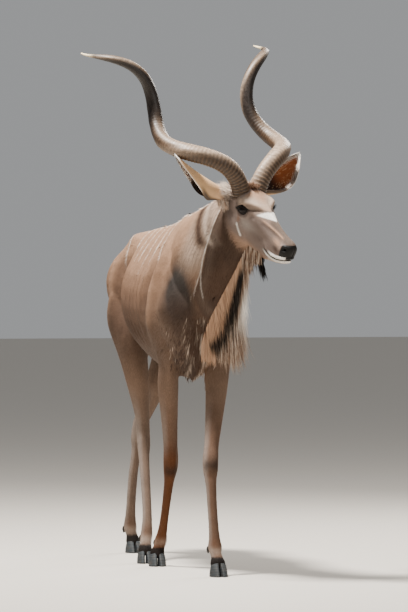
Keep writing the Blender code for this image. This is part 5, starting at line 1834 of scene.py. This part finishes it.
# Ears: a leaf-shaped cup. Root, tip and mouth in ahead, left, up; bow of the leaf
earSet = {
    "ear_left": ((-0.085, 0.066, -0.026), (-0.02, 0.292, 0.150), (0.75, -0.30, 0.10), (0.00, 0.024, -0.020)),
    "ear_right": ((-0.085, -0.066, -0.026), (-0.02, -0.230, 0.150), (-0.30, -0.25, -0.80),
                  (0.0, -0.003, -0.008)),
}
earShape = (
    (0.00, 0.024, 165),
    (0.12, 0.030, 150),
    (0.26, 0.044, 120),
    (0.42, 0.052, 88),
    (0.58, 0.050, 70),
    (0.74, 0.037, 60),
    (0.88, 0.020, 55),
    (0.97, 0.006, 50),
)
earRows, earSides = 44, 33


def earLeaf(name):  # points over the leaf: rows along, then across
    turn = Matrix((ahead, left, crown)).transposed()
    root, tip, mouth, belly = (turn @ Vector(v) for v in earSet[name])
    root = root + headAt
    run = tip.normalized()
    mouth = (mouth - run * mouth.dot(run)).normalized()
    across = run.cross(mouth)
    grid = np.zeros((earRows, earSides, 3))
    for i, (shareAlong, half, cup) in enumerate(eased(earShape, earRows)):
        half = max(half, 0.0035)
        cup = math.radians(cup)
        radius = half / math.sin(min(cup, math.pi / 2))
        middle = (root + run * (tip.length * shareAlong) + mouth * (radius - 0.022)
                  + belly * math.sin(math.pi * shareAlong))
        for k in range(earSides):
            edge = 2 * k / (earSides - 1) - 1
            angle = cup * edge
            fold = 0.0012 * math.sin(edge * 9) * math.sin(math.pi * shareAlong) ** 2
            spoke = across * math.sin(angle) - mouth * math.cos(angle)
            grid[i, k] = middle + spoke * (radius + fold)
    return grid, np.array(mouth)


def buildEar(name):
    grid, mouth = earLeaf(name)
    bm = bmesh.new()
    verts = bmesh.ops.create_grid(bm, x_segments=earSides - 1, y_segments=earRows - 1, size=1)["verts"]
    order = sorted(verts, key=lambda v: (round(v.co.y, 4), round(v.co.x, 4)))
    for vert, point in zip(order, grid.reshape(-1, 3)):
        vert.co = point
    bmesh.ops.recalc_face_normals(bm, faces=bm.faces)
    bm.normal_update()
    centreFace = min(bm.faces,
                     key=lambda f: (f.calc_center_median()
                                    - Vector(grid[earRows // 2, earSides // 2])).length)
    if centreFace.normal.dot(Vector(mouth)) < 0:
        bmesh.ops.reverse_faces(bm, faces=bm.faces)
    bmesh.ops.solidify(bm, geom=bm.faces, thickness=0.0022)
    bmesh.ops.recalc_face_normals(bm, faces=bm.faces)
    obj = newObject("earLeaf" + name[3:], meshFrom(bm, name + "Leaf"))
    colourPoints(obj.data, earColour(arrays(obj.data)[0], grid))
    finished(obj, hideMaterial)
    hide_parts(name)
    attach(obj, "root")
    return grid


def earPlaces(points, grid):  # share along and across, -1 to 1, of the nearest leaf point
    flat = grid.reshape(-1, 3)
    rows = []
    for start in range(0, len(points), 4000):
        some = points[start : start + 4000]
        rows.append(((some[:, None] - flat[None]) ** 2).sum(2).argmin(1))
    near = np.concatenate(rows)
    return (near // earSides) / (earRows - 1), 2 * (near % earSides) / (earSides - 1) - 1, near


def earColour(points, grid):
    along, across, near = earPlaces(points, grid)
    flat = grid.reshape(-1, 3)
    centre = grid.mean(axis=1)[near // earSides]
    spoke = unit(flat[near] - centre, 1e-6)
    outside = ((points - flat[near]) * spoke).sum(1) > 0.0006
    colour = np.tile(tone["rust"], (len(points), 1))
    # Painted shade deep in the cup toward the root
    colour = painted(colour, "black", (1 - soft(along, 0.36, 0.56)) * 0.92)
    colour = painted(colour, "umber", soft(np.abs(across), 0.55, 0.9) * 0.6)
    shell = np.tile(tone["gold"], (len(points), 1))
    shell = painted(shell, "tan", (1 - soft(along, 0.1, 0.5)) * 0.45)
    # Painted shade on the lower lobe, by the rims near the root
    shell = painted(shell, "slate", soft(np.abs(across), 0.72, 0.86) * (1 - soft(along, 0.34, 0.55)) * 0.92)
    shell = painted(shell, "tan", soft(along, 0.45, 0.8) * 0.30)
    colour = np.where(outside[:, None], shell, colour)
    rim = soft(np.abs(across), 0.95, 0.995) * soft(along, 0.38, 0.5)
    colour = painted(colour, "white", rim * 0.8)
    colour = painted(colour, "white", soft(along, 0.84, 0.93))
    return colour


earHairSet = {"coat": 9000, "ruff": 1300, "inside": 1100}


def earCoat(name, grid, seed):
    rng = np.random.default_rng(seed)
    count = int(earHairSet["coat"] * max(share, 0.5))
    rows = rng.uniform(0.02, 0.985, count) * (earRows - 1)
    cols = rng.uniform(0.0, 1.0, count) * (earSides - 1)
    i, k = rows.astype(int).clip(0, earRows - 2), cols.astype(int).clip(0, earSides - 2)
    a, b = (rows - i)[:, None], (cols - k)[:, None]
    p00, p01, p10, p11 = grid[i, k], grid[i, k + 1], grid[i + 1, k], grid[i + 1, k + 1]
    points = p00 * (1 - a) * (1 - b) + p01 * (1 - a) * b + p10 * a * (1 - b) + p11 * a * b
    runs = (p10 - p00) * (1 - b) + (p11 - p01) * b
    spans = (p01 - p00) * (1 - a) + (p11 - p10) * a
    normals = unit(np.cross(runs, spans), 1e-9)
    centre = grid.mean(axis=1)[i]
    facing = ((points - centre) * normals).sum(1)
    normals *= np.where(facing < 0, -1, 1)[:, None]  # away from the middle of the cup
    outer = rng.random(count) < 0.62
    normals = either(outer, normals, -normals)
    lies = unit(runs, 1e-9)
    roots = points + normals * np.where(outer, 0.0010, 0.0002)[:, None]
    colours = earColour(points + normals * np.where(outer, 0.0012, 0.0)[:, None], grid)
    tufts("coatEar" + name[3:], roots, normals, lies, rng.uniform(0.006, 0.012, count),
          rng.uniform(0.0009, 0.0015, count),
          np.radians(rng.uniform(3, 10, count)), varied(rng, colours, 0.8, 1.15), rng)
    # Ruff over the root of the ear
    count = int(earHairSet["ruff"] * max(share, 0.5))
    k = rng.integers(0, earSides, count)
    first = grid[rng.integers(0, 5, count), k]
    spoke = unit(first - grid[1].mean(axis=0), 1e-9)
    run = grid[8].mean(axis=0) - grid[1].mean(axis=0)
    run /= np.linalg.norm(run)
    roots = first - run * rng.uniform(0.004, 0.020, count)[:, None] - spoke * 0.004
    # Half lie up the ear, half hang over its root
    upward = np.where(rng.random(count) < 0.5, 1.0, -0.45)[:, None]
    aims = run * upward + spoke * rng.uniform(0.1, 0.5, count)[:, None] + rng.normal(0, 0.14, (count, 3))
    aims[:, 2] -= np.where(upward[:, 0] < 0, 0.8, 0.0)
    paler = rng.random(count) < 0.55
    base = either(paler, tone["pale"], either(rng.random(count) < 0.6, tone["tan"], tone["cheek"]))
    locks("maneEarRuff" + name[3:], roots, spoke, aims,
          rng.uniform(0.020, 0.042, count) * np.where(upward[:, 0] < 0, 1.5, 1),
          rng.uniform(0.0009, 0.0016, count),
          -spoke * 0.15, varied(rng, base, 0.6, 0.9), base, varied(rng, base, 0.9, 1.1), steps=3)
    # Long pale hair inside, from both rims; slate low in the cup as painted shade
    count = int(earHairSet["inside"] * max(share, 0.5))
    edge = np.where(rng.random(count) < 0.5, 1, -1)
    i = (rng.uniform(0.16, 0.90, count) * (earRows - 1)).astype(int)
    k = np.where(edge > 0, earSides - 1 - rng.integers(0, 5, count), rng.integers(0, 5, count))
    roots = grid[i, k]
    toTip = unit(grid[(i + 1).clip(0, earRows - 1), k] - roots, 1e-9)
    inward = unit(grid[i].mean(axis=1) - roots, 1e-9)
    aims = toTip * 0.8 + inward * rng.uniform(0.1, 0.7, count)[:, None] + rng.normal(0, 0.12, (count, 3))
    pale = either(rng.random(count) < 0.75, tone["white"], tone["sand"])
    # Slate low in the cup: painted shade
    pale = either(i < 0.42 * earRows, tone["slate"], pale)
    locks("maneEar" + name[3:], roots, inward, aims, rng.uniform(0.012, 0.030, count),
          rng.uniform(0.0007, 0.0013, count),
          inward * 0.12, varied(rng, pale, 0.6, 0.9), pale, pale, steps=3)


for number, earName in enumerate(earSet):
    earCoat(earName, buildEar(earName), 41 + number)
print("ears")

# Hooves: two pointed claws, ringed by growth lines, with small dewclaws behind the fetlock
hoofSet = {
    "places": {
        "foreleg_left": (0.722, 0.050, 4, 1.06),
        "foreleg_right": (0.006, -0.045, -4, 1.06),
        "hindleg_left": (-0.918, 0.045, 6, 1.02),
        "hindleg_right": (-0.192, -0.054, -6, 1.02),
    },
    "length": 0.084,
    "width": 0.0318,
    "height": 0.050,
    "gap": 0.0012,
    "splay": 0.0022,
    "growth": 0.0007,
    "dewclaw": 0.0105,
}


def clawRings(sign, turn, size, forward, side):
    rings = []
    outward = math.radians(turn)
    toeward = Vector((math.sin(outward), -math.cos(outward), 0))
    across = Vector((math.cos(outward), math.sin(outward), 0))
    middle = place(forward, side, 0)
    levels = [0, 0.03, 0.07] + [0.07 + 0.93 * (i + 1) / 18 for i in range(18)]
    for level in levels:
        full = float(np.interp(level, (0, 0.03, 0.07, 0.5, 1.0), (0.93, 0.98, 1.0, 0.97, 0.86)))
        lines = 1 + hoofSet["growth"] / 0.017 * math.sin(level * 44) * float(soft(np.array(level), 0.05, 0.2))
        ring = []
        for i in range(36):
            angle = 2 * math.pi * i / 36
            fore, wide = math.cos(angle), math.sin(angle) * sign
            reach = hoofSet["length"] * (0.52 if fore > 0 else 0.44) * full * size
            height = hoofSet["height"] * size * (0.84 + 0.16 * fore) * level
            half = hoofSet["width"] * 0.5 * full * size * (1 - 0.42 * max(0.0, fore) ** 2.5) * lines
            inner = hoofSet["gap"] + hoofSet["splay"] * max(0.0, fore) * (1 - level)
            flat = wide if wide > 0 else math.copysign(abs(wide) ** 0.45, wide)
            aheadBy = reach * fore - 0.50 * height * (0.5 + 0.5 * fore) ** 1.5
            aheadBy += 0.10 * height if fore < 0 else 0
            point = middle + toeward * aheadBy + across * (sign * (inner + half * (1 + flat)))
            point.z = height
            ring.append(point)
        rings.append(ring)
    return rings


def makeHoofMaterial():
    # Hoof horn: blue-grey, dulled by dust, banded by growth every 3 mm
    material, tree, shader = newMaterial("dustyHoofHorn", {"Specular IOR Level": 0.22, "Roughness": 0.60})
    where = addNode(tree, "ShaderNodeTexCoord")
    bands = addNode(tree, "ShaderNodeTexWave",
                    {"wave_type": "BANDS", "bands_direction": "Z", "Scale": 52.0, "Distortion": 1.2,
                     "Detail": 2.0},
                    {"Vector": where.outputs["Object"]})
    dust = addNode(tree, "ShaderNodeTexNoise", {"Scale": 70.0, "Detail": 4.0},
                   {"Vector": where.outputs["Object"]})
    ramp = addNode(tree, "ShaderNodeValToRGB", None, {"Fac": bands.outputs["Fac"]})
    ramp.color_ramp.elements[0].color = (*linear("#1C1F21"), 1)
    ramp.color_ramp.elements[1].color = (*linear("#3B4043"), 1)
    dusty = addNode(tree, "ShaderNodeMix", {"data_type": "RGBA"})
    level = addNode(tree, "ShaderNodeMapRange",
                    {"From Min": 0.45, "From Max": 0.75, "To Min": 0.0, "To Max": 0.55},
                    {"Value": dust.outputs["Fac"]})
    tree.links.new(level.outputs[0], dusty.inputs[0])
    tree.links.new(ramp.outputs[0], dusty.inputs[6])
    dusty.inputs[7].default_value = (*linear("#4C463F"), 1)
    apart = addNode(tree, "ShaderNodeSeparateXYZ", None, {"Vector": where.outputs["Object"]})
    upper = addNode(tree, "ShaderNodeMapRange", {"From Min": 0.050, "From Max": 0.062},
                    {"Value": apart.outputs["Z"]})
    darker = addNode(tree, "ShaderNodeMix", {"data_type": "RGBA"})
    tree.links.new(upper.outputs[0], darker.inputs[0])
    tree.links.new(dusty.outputs[2], darker.inputs[6])
    darker.inputs[7].default_value = (*linear("#1D1916"), 1)
    tree.links.new(darker.outputs[2], shader.inputs["Base Color"])
    lumps = addNode(tree, "ShaderNodeBump", {"Strength": 0.4, "Distance": 0.0006},
                    {"Height": bands.outputs["Fac"]})
    tree.links.new(lumps.outputs[0], shader.inputs["Normal"])
    return material


hoofMaterial = makeHoofMaterial()
for legName, (forward, side, turn, size) in hoofSet["places"].items():
    bm = bmesh.new()
    for sign in (1, -1):
        loft(bm, clawRings(sign, turn, size, forward, side))
    rows = legRows[legName]
    fetlock = next(r for r in rows if 0.10 <= r[2] <= 0.12)
    for sign in (1, -1):
        knob = bmesh.ops.create_uvsphere(bm, u_segments=20, v_segments=12, radius=hoofSet["dewclaw"])["verts"]
        spot = place(fetlock[0] - fetlock[5] + 0.001, fetlock[1] + sign * fetlock[3] * 0.66,
                     fetlock[2] - 0.013)
        for vert in knob:  # drawn out to a blunt point
            taper = 1 - 0.45 * max(0.0, -vert.co.z) / hoofSet["dewclaw"]
            vert.co.x *= taper
            vert.co.y *= taper
        shape = (Matrix.Translation(spot) @ Matrix.Rotation(0.55, 4,
                                                            "X") @ Matrix.Diagonal((0.85, 0.9, 1.75, 1)))
        bmesh.ops.transform(bm, matrix=shape, verts=knob)
    bmesh.ops.recalc_face_normals(bm, faces=bm.faces)
    hoofName = legName.replace("leg", "hoof")
    hoof = newObject("claws_" + hoofName, meshFrom(bm, hoofName + "Claws"))
    finished(hoof, hoofMaterial)
    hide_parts(hoofName)
    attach(hoof, "root")
print("hooves")

# Floor, light and camera
stageSet = {"floor": "#CFC8BE", "sky": "#E6E8EA", "skyStrength": 0.42}


def buildStage():
    bm = bmesh.new()
    bmesh.ops.create_grid(bm, x_segments=8, y_segments=8, size=40)
    floor = newObject("floor", meshFrom(bm, "floor"))
    finish = {"Roughness": 0.9, "Base Color": (*linear(stageSet["floor"]), 1)}
    floor.data.materials.append(newMaterial("palePlasterFloor", finish)[0])
    world = bpy.data.worlds.new("softSky")
    world.use_nodes = True
    back = world.node_tree.nodes["Background"]
    back.inputs["Color"].default_value = (*linear(stageSet["sky"]), 1)
    back.inputs["Strength"].default_value = stageSet["skyStrength"]
    bpy.context.scene.world = world


lightSet = (  # name, place, aim, size, watts
    ("key", (-1.7, -0.7, 6.2), (0.0, 0.0, 1.0), 1.0, 1250),
    ("fill", (1.5, -6.0, 3.0), (0.0, 0.0, 1.1), 3.0, 100),
    ("rim", (2.8, 3.2, 3.6), (0.0, 0.0, 1.2), 2.0, 220),
)
cameraSet = {"turn": -12.0, "stand": (0.0975, 24.0, 1.45), "aside": 0.048, "aimHeight": 1.04, "lens": 352.94}


def buildLights():
    for name, spot, aim, size, watts in lightSet:
        light = bpy.data.lights.new(name, "AREA")
        light.shape = "DISK"
        light.size = size
        light.energy = watts
        light.color = (1.0, 0.965, 0.915)
        obj = bpy.data.objects.new(name, light)
        bpy.context.scene.collection.objects.link(obj)
        obj.location = spot
        obj.rotation_euler = (Vector(aim) - Vector(spot)).to_track_quat("-Z", "Y").to_euler()


def buildCamera():
    turn = math.radians(cameraSet["turn"])
    side, distance, height = cameraSet["stand"]
    foot = Vector((side, 0, 0)) + offset
    spot = foot + Vector((distance * math.sin(turn), -distance * math.cos(turn), height))
    aim = foot + Vector((math.cos(turn), math.sin(turn), 0)) * cameraSet["aside"]
    aim.z = cameraSet["aimHeight"]
    camera = bpy.data.cameras.new("camera")
    camera.lens = cameraSet["lens"]
    camera.clip_end = 200
    obj = bpy.data.objects.new("camera", camera)
    bpy.context.scene.collection.objects.link(obj)
    obj.location = spot
    obj.rotation_euler = (aim - spot).to_track_quat("-Z", "Y").to_euler()
    bpy.context.scene.camera = obj


buildStage()
buildLights()
buildCamera()
